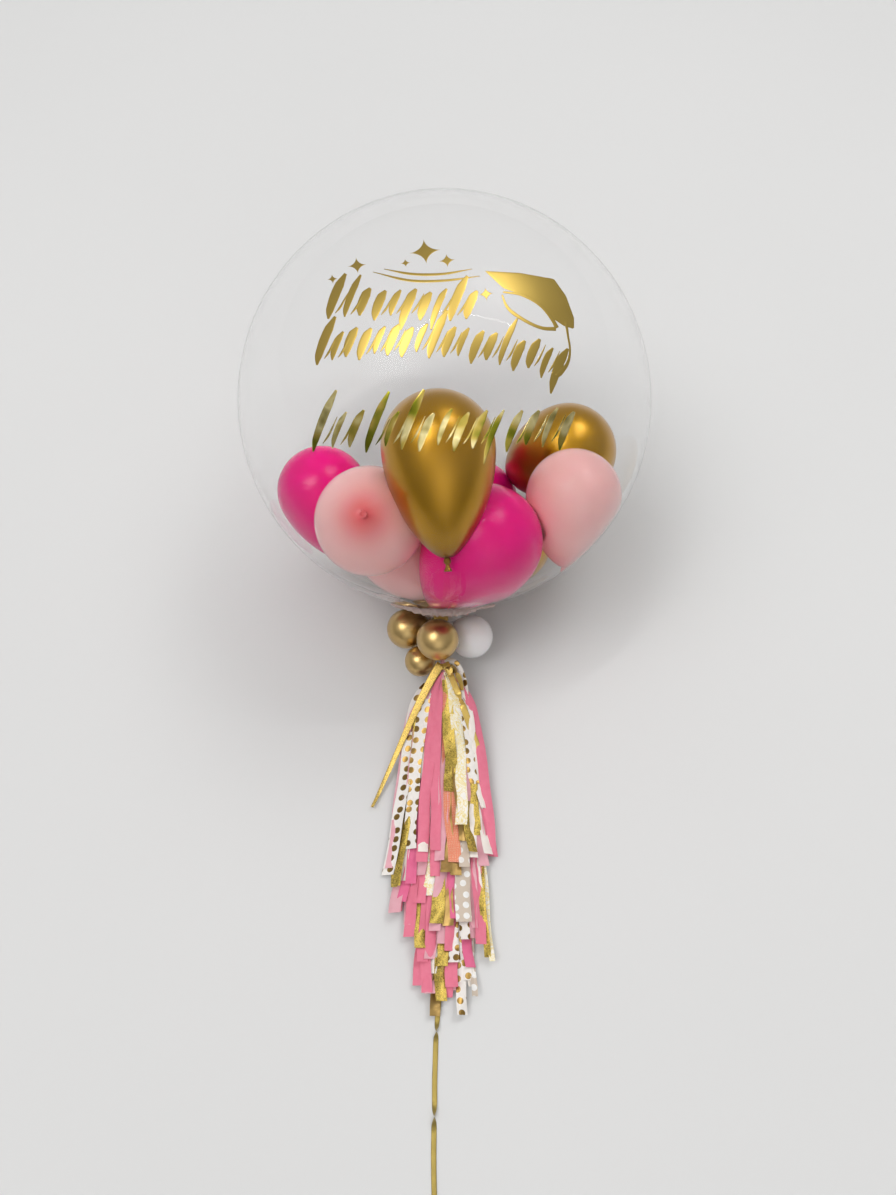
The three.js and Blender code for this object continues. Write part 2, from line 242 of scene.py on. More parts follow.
def curve_through(points, count):
    """A smooth line through chosen points: its steps go with the square root of the distances,
    and a cubic joins each two neighbours."""
    points = np.asarray(points, float)
    steps = np.linalg.norm(np.diff(points, axis=0), axis=1) ** 0.5
    knots = np.concatenate([[0], np.cumsum(steps)])
    slopes = np.gradient(points, knots, axis=0)
    at = np.linspace(0, knots[-1], count)
    k = np.clip(np.searchsorted(knots, at, side="right") - 1, 0, len(knots) - 2)
    span = (knots[k + 1] - knots[k])[:, None]
    t = (at - knots[k])[:, None] / span
    a, b = points[k], points[k + 1]
    return ((2 * t ** 3 - 3 * t ** 2 + 1) * a + (t ** 3 - 2 * t ** 2 + t) * span * slopes[k]
            + (3 * t ** 2 - 2 * t ** 3) * b + (t ** 3 - t ** 2) * span * slopes[k + 1])


def carried(line, widths, thickness, across, sides=10):
    """A flat closed section, a squashed circle, carried along a line. across is the direction
    of its width at each point of the line, before it is squared to the line."""
    tangent = unit(np.gradient(line, axis=0))
    across = unit(across - (across * tangent).sum(1, keepdims=True) * tangent)
    normal = np.cross(tangent, across)
    angle = np.linspace(0, 2 * math.pi, sides, endpoint=False)
    c, s = np.cos(angle), np.sin(angle)
    wide = np.sign(c) * np.abs(c) ** 0.6
    half = np.broadcast_to(np.asarray(widths, float), (len(line),)) / 2
    grid = (line[:, None] + (half[:, None] * wide)[..., None] * across[:, None]
            + (thickness / 2 * s)[None, :, None] * normal[:, None])
    first = np.repeat(line[:1, None], sides, axis=1)
    last = np.repeat(line[-1:, None], sides, axis=1)
    return np.concatenate([first, grid, last])


def rolled(roll, rise=1.0):
    """The direction of a ribbon's width: level at no roll and upright at a quarter turn."""
    roll = np.asarray(roll, float)[:, None]
    return np.cos(roll) * X_AXIS + rise * np.sin(roll) * Z_AXIS


def flat_ribbon(name, line, widths, across, look, slot, *nodes):
    """A flat ribbon along a line, with its weave laid out as seen from above."""
    grid = carried(line, widths, RIBBON_THICKNESS, across)
    weave = np.stack([grid[..., 0], -grid[..., 1]], axis=-1)
    return dress(closed(name, [grid], uvs=[weave]), look_of(look), slot, *nodes)


def band_section(inner, ridge, start, wide):
    """A wound band's section as (radius, along): ridges outside and straight inside."""
    ridges = np.stack([ridge, start + wide * np.linspace(0, 1, len(ridge))], axis=1)
    first, last = [[inner, start]], [[inner, start + wide]]
    return np.concatenate([first, ridges, last, first])


# Materials

class Look:
    """A short way to build one procedural material."""

    def __init__(self, name, tone, roughness, **sockets):
        self.material = bpy.data.materials.new(name)
        self.material.use_nodes = True
        self.nodes = self.material.node_tree.nodes
        self.links = self.material.node_tree.links
        self.shader = self.nodes["Principled BSDF"]
        self.put("Base Color", (*tone, 1))
        self.put("Roughness", roughness)
        for socket, value in sockets.items():
            self.put(socket.replace("_", " "), value)

    def put(self, socket, value):
        """Sets a plain value on the shader."""
        self.shader.inputs[socket].default_value = value

    def add(self, kind, **values):
        """Adds a node and sets its sockets or settings by name."""
        node = self.nodes.new(kind)
        for key, value in values.items():
            if key in node.inputs:
                node.inputs[key].default_value = value
            else:
                setattr(node, key, value)
        return node

    def join(self, out, socket):
        """Links an output to a socket."""
        self.links.new(out, socket)

    def place(self, kind="Object"):
        """Texture places: in the object's metres, or along a strip with UV."""
        return self.add("ShaderNodeTexCoord").outputs[kind]

    def noise(self, scale, detail=3.0, where=None, **values):
        """Fractal noise, with so many cells to a metre."""
        node = self.add("ShaderNodeTexNoise", Scale=scale, Detail=detail, **values)
        self.join(where or self.place(), node.inputs["Vector"])
        return node.outputs["Fac"]

    def ramp(self, value, stops):
        """Colours along a value, blended between their places."""
        node = self.add("ShaderNodeValToRGB")
        marks = node.color_ramp.elements
        while len(marks) < len(stops):
            marks.new(0.5)
        for mark, (position, colour) in zip(marks, stops):
            mark.position = position
            mark.color = (*colour, 1)
        self.join(value, node.inputs["Fac"])
        return node.outputs["Color"]

    def span(self, value, low, high, from_low=0.0, from_high=1.0):
        """Maps a value from one span to another, by a straight line."""
        node = self.add("ShaderNodeMapRange")
        for key, number in (("From Min", from_low), ("From Max", from_high),
                            ("To Min", low), ("To Max", high)):
            node.inputs[key].default_value = number
        self.join(value, node.inputs["Value"])
        return node.outputs["Result"]

    def mix(self, factor, first, second):
        """Blends two colours, each a plain one or a node's."""
        node = self.add("ShaderNodeMix", data_type="RGBA")
        self.join(factor, node.inputs[0])
        for socket, value in ((node.inputs[6], first), (node.inputs[7], second)):
            if isinstance(value, tuple):
                socket.default_value = (*value, 1)
            else:
                self.join(value, socket)
        return node.outputs[2]

    def bump(self, height, strength, distance):
        """Tilts the shading by the slope of a height."""
        node = self.add("ShaderNodeBump", Strength=strength, Distance=distance)
        self.join(height, node.inputs["Height"])
        self.join(node.outputs["Normal"], self.shader.inputs["Normal"])

    def cloud(self, tone, dark, pale, scale, detail=3.0, where=None):
        """A colour that drifts between a darker and a paler one of itself, by noise."""
        return self.mix(self.noise(scale, detail, where), shade(tone, dark), shade(tone, pale))

    def drive(self, socket, out):
        """Links an output to one of the shader's own sockets."""
        self.join(out, self.shader.inputs[socket])


def shade(tone, times):
    """A colour times a number, with no part of it over 1."""
    return tuple(min(1.0, part * times) for part in tone)


def clear_film_look():
    """Clear film, all see-through, that bulges very slightly where it isn't stretched evenly."""
    look = Look("clear_film", (1.0, 1.0, 1.0), 0.0, Transmission_Weight=1.0, IOR=1.13)
    look.bump(look.noise(5.0, 1.0), 0.03, 0.003)
    return look.material


def hazy_film_look():
    """Film that lies double and creased, so that it scatters a little; its pinkish tone is a painted
    reflection of the pink balloons.
    """
    # painted reflection: the pinkish colour stands in for the pink balloons that the film reflects
    look = Look("hazy_film", (0.97, 0.80, 0.74), 0.08, Transmission_Weight=0.66, IOR=1.4)
    look.bump(look.noise(90.0, 3.0, Distortion=1.5), 0.3, 0.001)
    return look.material


def latex_look(name, tone, deep):
    """Glossy latex, deeper where it gathers at the neck (attribute gather)."""
    look = Look(name, tone, 0.2, Coat_Weight=0.3, Coat_Roughness=0.03, Specular_IOR_Level=0.1,
                Subsurface_Weight=0.12, Subsurface_Scale=0.02)
    gather = look.add("ShaderNodeAttribute", attribute_name="gather").outputs["Fac"]
    look.drive("Base Color", look.mix(gather, look.cloud(tone, 0.94, 1.05, 14.0), deep))
    look.drive("Roughness", look.span(look.noise(25.0), 0.14, 0.24))
    look.bump(look.noise(160.0, 2.0), 0.03, 0.0004)
    return look.material


def gold_latex_look(name, tone):
    """Chrome-like latex: a metal skin with soft, slightly cloudy highlights."""
    look = Look(name, tone, 0.28, Metallic=1.0, Coat_Weight=0.45, Coat_Roughness=0.16)
    gather = look.add("ShaderNodeAttribute", attribute_name="gather").outputs["Fac"]
    cloud = look.cloud(tone, 0.92, 1.08, 11.0)
    look.drive("Base Color", look.mix(gather, cloud, shade(tone, 0.5)))
    look.drive("Roughness", look.span(look.noise(26.0, 4.0), 0.28, 0.4))
    look.bump(look.noise(220.0, 2.0), 0.04, 0.0003)
    return look.material


def satin_vinyl_look(tone):
    """Satin foil with a slow change of tone."""
    look = Look("satin_vinyl", tone, 0.34, Metallic=1.0)
    look.drive("Base Color", look.cloud(tone, 0.78, 1.1, 9.0))
    look.bump(look.noise(420.0, 2.0), 0.08, 0.0002)
    return look.material


def mirror_vinyl_look(tone):
    """Mirror foil, cut and laid by hand, so that it ripples; the dark, olive green and pale gold
    bands in its colour are painted reflections of the room.
    """
    look = Look("mirror_vinyl", tone, 0.09, Metallic=1.0)
    # painted reflections: near black, olive green and pale gold bands stand in for the room seen in
    # the mirror foil
    painted_reflection_bands = look.ramp(look.noise(26.0, 2.0), [
        (0.30, (0.10, 0.08, 0.005)), (0.42, (0.27, 0.27, 0.02)), (0.5, (0.62, 0.46, 0.1)),
        (0.6, (1.0, 0.86, 0.42)), (0.7, (0.30, 0.23, 0.03))])
    look.drive("Base Color", painted_reflection_bands)
    look.bump(look.noise(70.0, 1.0), 0.35, 0.0015)
    return look.material


def tissue_look(name, tone, paler):
    """Thin crumpled paper: fibres, soft cloudy dye and fine creases along the strip."""
    look = Look(name, tone, 0.78, Sheen_Weight=0.15)
    uv = look.place("UV")
    look.drive("Base Color", look.mix(look.noise(120.0, 4.0, where=uv), tone, paler))
    look.bump(look.noise(520.0, 4.0, where=uv, Distortion=1.2), 0.5, 0.0004)
    return look.material


DOT_GAP, DOT_SIZE, DOT_EDGE = 0.0125, 0.32, 0.03  # metres apart, radius and soft edge in gaps
PAPER_ROUGHNESS, FOIL_DOT_ROUGHNESS = 0.7, 0.3


def dotted_look(name, paper, dot, metal, gap=DOT_GAP, size=DOT_SIZE):
    """Paper with round dots on a loose grid: Voronoi cells on the strip's own plane."""
    look = Look(name, paper, PAPER_ROUGHNESS)
    uv = look.place("UV")
    cells = look.add("ShaderNodeTexVoronoi", voronoi_dimensions="2D", Scale=1 / gap, Randomness=0.4)
    look.join(uv, cells.inputs["Vector"])
    spot = look.span(cells.outputs["Distance"], 1.0, 0.0, size - DOT_EDGE, size)
    tint = look.cloud(dot, 0.7, 1.15, 90.0, 2.0, uv)
    plain = look.cloud(paper, 1.0, 0.93, 60.0, 3.0, uv)
    look.drive("Base Color", look.mix(spot, plain, tint))
    if metal:
        look.drive("Metallic", spot)
        look.drive("Roughness", look.span(spot, PAPER_ROUGHNESS, FOIL_DOT_ROUGHNESS))
    look.bump(look.noise(480.0, 3.0, where=uv), 0.25, 0.0003)
    return look.material


def glitter_look(name, tone, flake=0.0011):
    """Glitter: small cells that each catch the light at their own angle; each cell's colour is made
    darker or paler as a painted glint, and its roughness differs.
    """
    look = Look(name, tone, 0.4, Metallic=0.7)
    uv = look.place("UV")
    cells = look.add("ShaderNodeTexVoronoi", voronoi_dimensions="2D", Scale=1 / flake)
    look.join(uv, cells.inputs["Vector"])
    grey = look.add("ShaderNodeRGBToBW")
    look.join(cells.outputs["Color"], grey.inputs["Color"])
    # painted glints: each flake's colour runs from 0.6 to 1.45 times the tone
    look.drive("Base Color", look.ramp(grey.outputs["Val"], [
        (0.15, shade(tone, 0.6)), (0.5, tone), (0.85, shade(tone, 1.45))]))
    look.drive("Roughness", look.span(grey.outputs["Val"], 0.22, 0.6))
    look.bump(grey.outputs["Val"], 0.4, 0.0003)
    return look.material


def foil_look(name, tone, roughness):
    """Crumpled foil paper, cloudy in colour and shine."""
    look = Look(name, tone, roughness, Metallic=0.9)
    uv = look.place("UV")
    look.drive("Base Color", look.cloud(tone, 0.7, 1.15, 45.0, 3.0, uv))
    look.drive("Roughness", look.span(look.noise(80.0, where=uv), roughness * 0.8, roughness * 1.3))
    look.bump(look.noise(120.0, 3.0, where=uv, Distortion=0.8), 0.4, 0.001)
    return look.material


def marbled_look():
    """White paper with pale yellow foil veins."""
    look = Look("marbled_paper", (0.86, 0.82, 0.72), 0.5)
    uv = look.place("UV")
    veins = look.ramp(look.noise(70.0, 5.0, where=uv, Distortion=2.5), [
        (0.42, (0.88, 0.85, 0.78)), (0.5, (0.82, 0.66, 0.2)), (0.56, (0.9, 0.87, 0.8)),
        (0.66, (0.85, 0.74, 0.34)), (0.72, (0.9, 0.88, 0.82))])
    look.drive("Base Color", veins)
    look.bump(look.noise(300.0, 3.0, where=uv), 0.3, 0.0004)
    return look.material


def ribbon_look(name, tone, roughness):
    """Woven ribbon: fine ribs across its length, with a soft metallic shine."""
    look = Look(name, tone, roughness, Metallic=0.75, Sheen_Weight=0.2)
    uv = look.place("UV")
    ribs = look.add("ShaderNodeTexWave", wave_type="BANDS", bands_direction="Y", Scale=420.0)
    look.join(uv, ribs.inputs["Vector"])
    look.drive("Base Color", look.cloud(tone, 0.75, 1.2, 60.0, 2.0, uv))
    look.bump(ribs.outputs["Fac"], 0.25, 0.0003)
    return look.material


def floor_look(tone):
    """Matt painted floor, a little cloudy."""
    look = Look("pale_floor", tone, 0.85)
    look.drive("Base Color", look.cloud(tone, 0.97, 1.02, 1.2, 2.0))
    look.bump(look.noise(60.0, 4.0), 0.04, 0.001)
    return look.material


LOOKS = {}


def look_of(name):
    """Makes each material once, when it is first wanted."""
    if name in LOOKS:
        return LOOKS[name]
    c = bpy.context.scene.balloon_colours
    hot, blush, gold, vinyl = tuple(c.hot_pink), tuple(c.blush), tuple(c.gold), tuple(c.vinyl)
    makers = {
        "clear_film": clear_film_look,
        "hazy_film": hazy_film_look,
        "hot_pink": lambda: latex_look("hot_pink_latex", hot, shade(hot, 0.45)),
        "blush": lambda: latex_look("blush_latex", blush, (0.80, 0.13, 0.14)),
        "white": lambda: latex_look("white_latex", (0.93, 0.91, 0.90), (0.7, 0.62, 0.6)),
        "gold": lambda: gold_latex_look("gold_latex", gold),
        "pale_gold": lambda: gold_latex_look("pale_gold_latex", (0.60, 0.41, 0.16)),
        "satin_vinyl": lambda: satin_vinyl_look(vinyl),
        "mirror_vinyl": lambda: mirror_vinyl_look(vinyl),
        "pink": lambda: tissue_look("pink_tissue", (0.73, 0.15, 0.24), (0.79, 0.22, 0.31)),
        "rose": lambda: tissue_look("rose_tissue", (0.71, 0.32, 0.38), (0.79, 0.45, 0.50)),
        "deep_pink": lambda: tissue_look("deep_pink_tissue", (0.70, 0.10, 0.24), (0.78, 0.18, 0.32)),
        "vellum": lambda: dotted_look("dotted_vellum", (0.62, 0.52, 0.42), (0.93, 0.9, 0.85),
                                      metal=False),
        "dots": lambda: dotted_look("gold_dotted_paper", (0.86, 0.82, 0.77), (0.34, 0.21, 0.06),
                                    metal=True),
        "coral": lambda: dotted_look("coral_paper", (0.82, 0.25, 0.14), (0.9, 0.45, 0.3), False,
                                     gap=0.0022, size=0.3),
        "marbled": marbled_look,
        "glitter": lambda: glitter_look("glitter_paper", (0.47, 0.34, 0.07)),
        "bronze": lambda: foil_look("bronze_foil", (0.45, 0.29, 0.1), 0.38),
        "cream": lambda: tissue_look("cream_tissue", (0.82, 0.74, 0.66), (0.9, 0.86, 0.8)),
        "glitter_ribbon": lambda: glitter_look("glitter_ribbon", (0.66, 0.46, 0.12), 0.0008),
        "satin_ribbon": lambda: ribbon_look("satin_ribbon", (0.66, 0.46, 0.12), 0.3),
        "tether_ribbon": lambda: ribbon_look("tether_ribbon", (0.34, 0.25, 0.06), 0.35),
    }
    LOOKS[name] = makers[name]()
    return LOOKS[name]


# Bubble film

# The lip is the collar's round rim: an arc in quarter turns, its half widths, and how far its
# middle is in from the collar's edge and out from the sphere. The neck's end is a line of (radius,
# distance past the tie).
BALL_ROWS, FILM_COLUMNS = 110, 192
LIP_ARC = (-0.5, 1.35)
LIP_WIDE, LIP_HIGH, LIP_IN, LIP_OUT = 0.0030, 0.0044, 0.0021, 0.0048
NECK_RADIUS, TIE_GRIP, NECK_FALL = 0.0062, 0.006, 3.2
NECK_END = np.array([[0.0058, -0.003], [0.0056, 0.0], [0.0058, 0.004], [0.0068, 0.007],
                     [0.0076, 0.0105], [0.0066, 0.0112], [0.003, 0.0095], [0.0, 0.009]])
PLEATS, FINE_PLEATS = 26, 41
PLEATED_FROM = 0.60  # share of the film's rows past which it is pleated
PLEAT_DEPTH, PLEAT_SWAY, PLEAT_HEIGHT = 0.075, 0.03, 0.0016


def film_profile():
    """(radius, along the neck's axis from the centre): a circle as far as the collar, then the
    collar's round rim and underside, the gathered neck and its loose tail past the tie."""
    s = sizes()
    last = math.pi - math.asin(s.collar_radius / s.radius)
    angle = np.linspace(0, last, BALL_ROWS)
    ball = np.stack([s.radius * np.sin(angle), -s.radius * np.cos(angle)], axis=1)
    rim = ball[-1, 1]
    tie = s.radius + s.tie_reach
    turn = np.linspace(*LIP_ARC, 9) * math.pi / 2
    lip = np.stack([s.collar_radius + LIP_WIDE * np.cos(turn) - LIP_IN,
                    rim + LIP_OUT + LIP_HIGH * np.sin(turn)], axis=1)
    t = np.linspace(0, 1, 24)[1:]
    grip = tie - TIE_GRIP
    under = np.stack([(1 - t) * lip[-1, 0] + t * NECK_RADIUS,
                      lip[-1, 1] + (grip - lip[-1, 1]) * t ** NECK_FALL], axis=1)
    return np.concatenate([ball, lip, under, NECK_END + [0, tie]])


def film_ripple(share, turn):
    """Pleats: the radius and height sway with the angle, only near the neck's end."""
    near = np.clip((share - PLEATED_FROM) / (1 - PLEATED_FROM), 0, 1) ** 1.5
    fold = np.sin(PLEATS * turn + 2.0 * np.sin(3 * turn)) + 0.5 * np.sin(FINE_PLEATS * turn + 1.3)
    sway = np.sin(2 * turn + 0.6)
    return (1 + near * (PLEAT_DEPTH * fold + PLEAT_SWAY * sway),
            near * PLEAT_HEIGHT * np.sin(17 * turn + 3 * share))


def make_film():
    """The film's profile turned round the neck's axis, flat where it meets the floor, with a
    wall that grows inwards."""
    s = sizes()
    axis, side, _, _ = neck_frame()
    grid = turned(film_profile(), axis, side, bubble_centre(), FILM_COLUMNS, film_ripple)
    grid[..., 2] = np.maximum(grid[..., 2], FLOOR_GAP)
    piece = closed("bubble_film", [grid])
    solidify(piece, s.film, -1.0)
    dress(piece, look_of("clear_film"), "clear_film", "bubble")


# Skirt: the collar's second layer, an arc as the lip is, which runs in to an inner radius
SKIRT_ARC = (-0.62, 1.30)
SKIRT_WIDE, SKIRT_HIGH, SKIRT_IN = 0.0044, 0.0056, 0.0018
SKIRT_INNER, SKIRT_SAG, SKIRT_THICKNESS, SKIRT_COLUMNS = 0.019, 0.0008, 0.0003, 288
SKIRT_PLEATS, SKIRT_FINE_PLEATS, SKIRT_DEPTH, SKIRT_WAVE = 31, 53, 0.011, 0.0004
FOLD_STAND_OFF, FOLD_CREASE = 0.0034, 0.06
# Folds: place beside and above the neck's line, half length, half thickness, tilt
FILM_FOLDS = [(-0.032, 0.010, 0.034, 0.0066, 0.08), (0.034, 0.008, 0.036, 0.0055, -0.05)]


def make_collar():
    """The film's gathered collar: a pleated skirt round the lip, hazy where it lies double.
    Its section is an arc over the lip and then runs in under it. Two folds bulge out beside the
    neck, each an ellipse turned round its long way."""
    s = sizes()
    axis, side, up, _ = neck_frame()
    rim = math.sqrt(s.radius ** 2 - s.collar_radius ** 2)
    turn = np.linspace(*SKIRT_ARC, 16) * math.pi / 2
    arc = np.stack([s.collar_radius + SKIRT_WIDE * np.cos(turn) - SKIRT_IN,
                    rim + LIP_OUT + SKIRT_HIGH * np.sin(turn)], axis=1)
    t = np.linspace(0, 1, 14)[1:]
    under = np.stack([arc[-1, 0] + (SKIRT_INNER - arc[-1, 0]) * t,
                      arc[-1, 1] + SKIRT_SAG * np.sin(math.pi * t)], axis=1)

    def pleat(share, around):
        fold = (np.sin(SKIRT_PLEATS * around + 3 * np.sin(4 * around))
                + 0.6 * np.sin(SKIRT_FINE_PLEATS * around + 5 * share))
        return 1 + SKIRT_DEPTH * fold * np.sin(math.pi * share) ** 0.5, SKIRT_WAVE * fold

    skirt = np.concatenate([arc, under])
    grids = [turned(skirt, axis, side, bubble_centre(), SKIRT_COLUMNS, pleat)]
    for beside, above, wide, thick, tilt in FILM_FOLDS:
        angle = np.linspace(0, math.pi, 40)
        profile = np.stack([thick * np.sin(angle) ** 0.9, -wide * np.cos(angle)], axis=1)
        along = unit(math.cos(tilt) * side + math.sin(tilt) * axis)
        centre = bubble_centre() + axis * (rim + FOLD_STAND_OFF + thick)
        centre += beside * side + above * up

        def crease(share, around):
            wave = np.sin(14 * share + 3 * np.sin(around))
            return 1 + FOLD_CREASE * wave * np.sin(around), 0 * share

        grids.append(turned(profile, along, up, centre, SKIRT_COLUMNS, crease))
    for grid in grids:
        grid[..., 2] = np.maximum(grid[..., 2], FLOOR_GAP)
    piece = closed("film_collar", grids)
    solidify(piece, SKIRT_THICKNESS)
    dress(piece, look_of("hazy_film"), "clear_film")


# Latex balloons

GATHERED_FROM = 0.55  # share of the way to the knot past which the latex is gathered


def balloon_profile(radius, reach, knot, rows=46):
    """(radius, along): half a circle, then a taper to the neck that follows a cosine's 0.62
    power, a short neck, the rolled lip and its end."""
    top = np.linspace(0, math.pi / 2, rows // 2)
    cap = np.stack([radius * np.sin(top), -radius * np.cos(top)], axis=1)
    q = np.linspace(0, 1, rows)[1:]
    taper = np.cos(math.pi / 2 * q * 0.985) ** 0.62
    low = np.stack([np.maximum(radius * taper, knot * 0.75), q * reach], axis=1)
    bead = np.linspace(-0.5, 0.5, 7) * math.pi
    ball = np.stack([knot * (0.7 + 0.5 * np.cos(bead)),
                     reach + knot * (1.1 + 1.1 * np.sin(bead))], axis=1)
    flare = np.array([[0.62, 2.6], [0.8, 3.4], [1.15, 4.1], [1.3, 4.5], [1.1, 4.7], [0.5, 4.2],
                      [0.0, 4.1]]) * knot
    flare[:, 1] += reach
    return np.concatenate([cap, low, ball, flare])


def gather_field(profile, reach, columns):
    """1 at the knot, fading to 0 over the taper's last part, as a power of the way."""
    along = profile[:, 1]
    value = np.clip((along - GATHERED_FROM * reach) / ((1 - GATHERED_FROM) * reach), 0, 1) ** 2.2
    return np.repeat(value[:, None], columns, axis=1)


def knot_ripple(reach_share):
    """The latex creases lengthwise where it is drawn into the knot."""
    def ripple(share, turn):
        near = np.clip((share - reach_share) / (1 - reach_share), 0, 1)
        return 1 + 0.10 * near * np.sin(9 * turn + 5 * share), np.zeros_like(turn)
    return ripple


# Inner balloons: centre, radius, direction of the knot, knot's distance in radii, colour.
# They lie piled towards the neck and the floor, each resting on the film or on others.
INNER_BALLOONS = {
    "inner_gold_front": ((-0.007, -0.1016, 0.3132), 0.065, (0.081, -0.904, -0.421), 1.93, "gold"),
    "inner_hot_pink_left": ((-0.156, -0.069, 0.162), 0.058, (0.45, -0.77, -0.36), 1.75, "hot_pink"),
    "inner_blush_left": ((-0.088, -0.154, 0.236), 0.065, (0.0, -0.42, 0.91), 1.2, "blush"),
    "inner_hot_pink_front": ((0.048, -0.170, 0.215), 0.069, (-0.58, -0.50, -0.62), 1.55, "hot_pink"),
    "inner_gold_right": ((0.161, -0.007, 0.159), 0.063, (-0.7, 0.1, -0.7), 1.6, "gold"),
    "inner_blush_right": ((0.157, -0.108, 0.215), 0.058, (-0.10, -0.72, -0.45), 1.5, "blush"),
    "inner_blush_low": ((-0.054, -0.131, 0.124), 0.0594, (0.54, -0.39, -0.14), 1.6, "blush"),
    "inner_hot_pink_back": ((0.044, -0.027, 0.064), 0.057, (0.1, 0.42, -0.9), 1.75, "hot_pink"),
    "inner_gold_back": ((-0.065, -0.039, 0.071), 0.056, (0.0, 0.42, -0.9), 1.75, "gold"),
    "inner_gold_low": ((0.082, -0.122, 0.124), 0.0555, (0.2, 0.6, -0.6), 1.6, "gold"),
    "inner_blush_under": ((-0.010, -0.035, 0.220), 0.055, (0.0, 0.42, -0.9), 1.3, "blush"),
    "inner_hot_pink_under": ((-0.012, 0.010, 0.130), 0.050, (0.1, 0.42, -0.9), 1.3, "hot_pink"),
}
BALLOON_COLUMNS, INNER_KNOT, INNER_CREASED_FROM = 72, 0.0034, 0.8
FILM_CLEARANCE = 0.0012
CONTACT_CLEARANCE = 0.0002
NEIGHBOUR_GAP = 0.004  # balloons farther apart than this don't press each other
CONTACT_REACH = 0.5  # a contact's largest radius, in radii


def pressed(points, name):
    """Flattens a balloon where it meets another: points past the plane between the two
    circles' meeting stay on it, and points past the film stay just inside it."""
    centre, radius = np.array(INNER_BALLOONS[name][0]), INNER_BALLOONS[name][1]
    for other, (place, size, _, _, _) in INNER_BALLOONS.items():
        between = np.array(place) - centre
        gap = np.linalg.norm(between)
        if other == name or gap > radius + size + NEIGHBOUR_GAP:
            continue
        toward = between / gap
        plane = (gap ** 2 + radius ** 2 - size ** 2) / (2 * gap) - CONTACT_CLEARANCE
        along = (points - centre) @ toward
        off = np.linalg.norm(points - centre - along[..., None] * toward, axis=-1)
        near = off < CONTACT_REACH * radius
        past = np.where(near & (along > plane), along - plane, 0.0)
        points = points - past[..., None] * toward
    middle = bubble_centre()
    out = np.linalg.norm(points - middle, axis=-1, keepdims=True)
    most = sizes().radius - FILM_CLEARANCE
    points = np.where(out > most, middle + (points - middle) * most / out, points)
    points[..., 2] = np.maximum(points[..., 2], FILM_CLEARANCE)
    return points


def make_inner_balloons():
    """One turned profile to a balloon, pressed by its neighbours and the film."""
    for name, (centre, radius, toward, reach, colour) in INNER_BALLOONS.items():
        axis = unit(np.array(toward))
        side = unit(np.cross(axis, Z_AXIS + 0.3 * X_AXIS))
        profile = balloon_profile(radius, radius * reach, INNER_KNOT)
        grid = pressed(turned(profile, axis, side, np.array(centre), BALLOON_COLUMNS,
                              knot_ripple(INNER_CREASED_FROM)), name)
        gather = gather_field(profile, radius * reach, BALLOON_COLUMNS)
        piece = closed(name, [grid], fields={"gather": [gather]})
        dress(piece, look_of(colour), "gold_latex" if colour == "gold" else "white_latex")


# Mini balloons round the neck: radius, neck, (side, out, up), tied on at, colour
MINI_BALLOONS = {
    "mini_balloon_gold_left": (0.0265, 0.025, (-46, 22, -11), "tie", "pale_gold"),
    "mini_balloon_gold_front": (0.027, 0.020, (-3, 15, 42), "tie", "pale_gold"),
    "mini_balloon_white_right": (0.029, 0.020, (37, 26, -4), "tie", "white"),
    "mini_balloon_gold_small": (0.0205, 0.020, (-17, 38, 7), "strand", "pale_gold"),
}
PROP_RADIUS = 0.027  # the one behind the neck, which props it off the floor
PROP_BACK = 0.020
MINI_ROWS, MINI_COLUMNS, MINI_KNOT, MINI_CREASED_FROM = 34, 56, 0.0018, 0.75
TIE_ROOM = 0.019  # left free between a knot and the tie
FARTHEST_KNOT = 1.45  # from a mini balloon's centre, in radii
MINI_FLOOR_GAP = 0.0002
STRAND_BEND = np.array([-0.010, -0.022, -0.004])


def make_mini_balloons():
    """Four set round the tie, each by a direction and its radius plus its neck, and the prop."""
    axis, side, up, tie = neck_frame()
    places = {"tie": tie, "strand": tie + STRAND_BEND}
    jobs = []
    for name, (radius, neck, (right, out, rise), held, colour) in MINI_BALLOONS.items():
        direction = unit(right * side + out * axis + rise * up)
        centre = places[held] + direction * (radius + neck)
        jobs.append((name, radius, centre, places[held], colour))
    prop = np.array([tie[0], tie[1] + PROP_BACK, PROP_RADIUS])
    jobs.append(("mini_balloon_white_back", PROP_RADIUS, prop, tie, "white"))
    for name, radius, centre, held, colour in jobs:
        toward = unit(held - centre)
        across = unit(np.cross(toward, Z_AXIS + 0.3 * X_AXIS))
        reach = min(np.linalg.norm(held - centre) - TIE_ROOM, radius * FARTHEST_KNOT)
        profile = balloon_profile(radius, reach, MINI_KNOT, MINI_ROWS)
        ripple = knot_ripple(MINI_CREASED_FROM)
        grid = turned(profile, toward, across, centre, MINI_COLUMNS, ripple)
        grid[..., 2] = np.maximum(grid[..., 2], MINI_FLOOR_GAP)
        gather = gather_field(profile, reach, MINI_COLUMNS)
        piece = closed(name + "_skin", [grid], fields={"gather": [gather]})
        dress(piece, look_of(colour), "white_latex" if colour == "white" else "gold_latex", name)


# Vinyl ornament

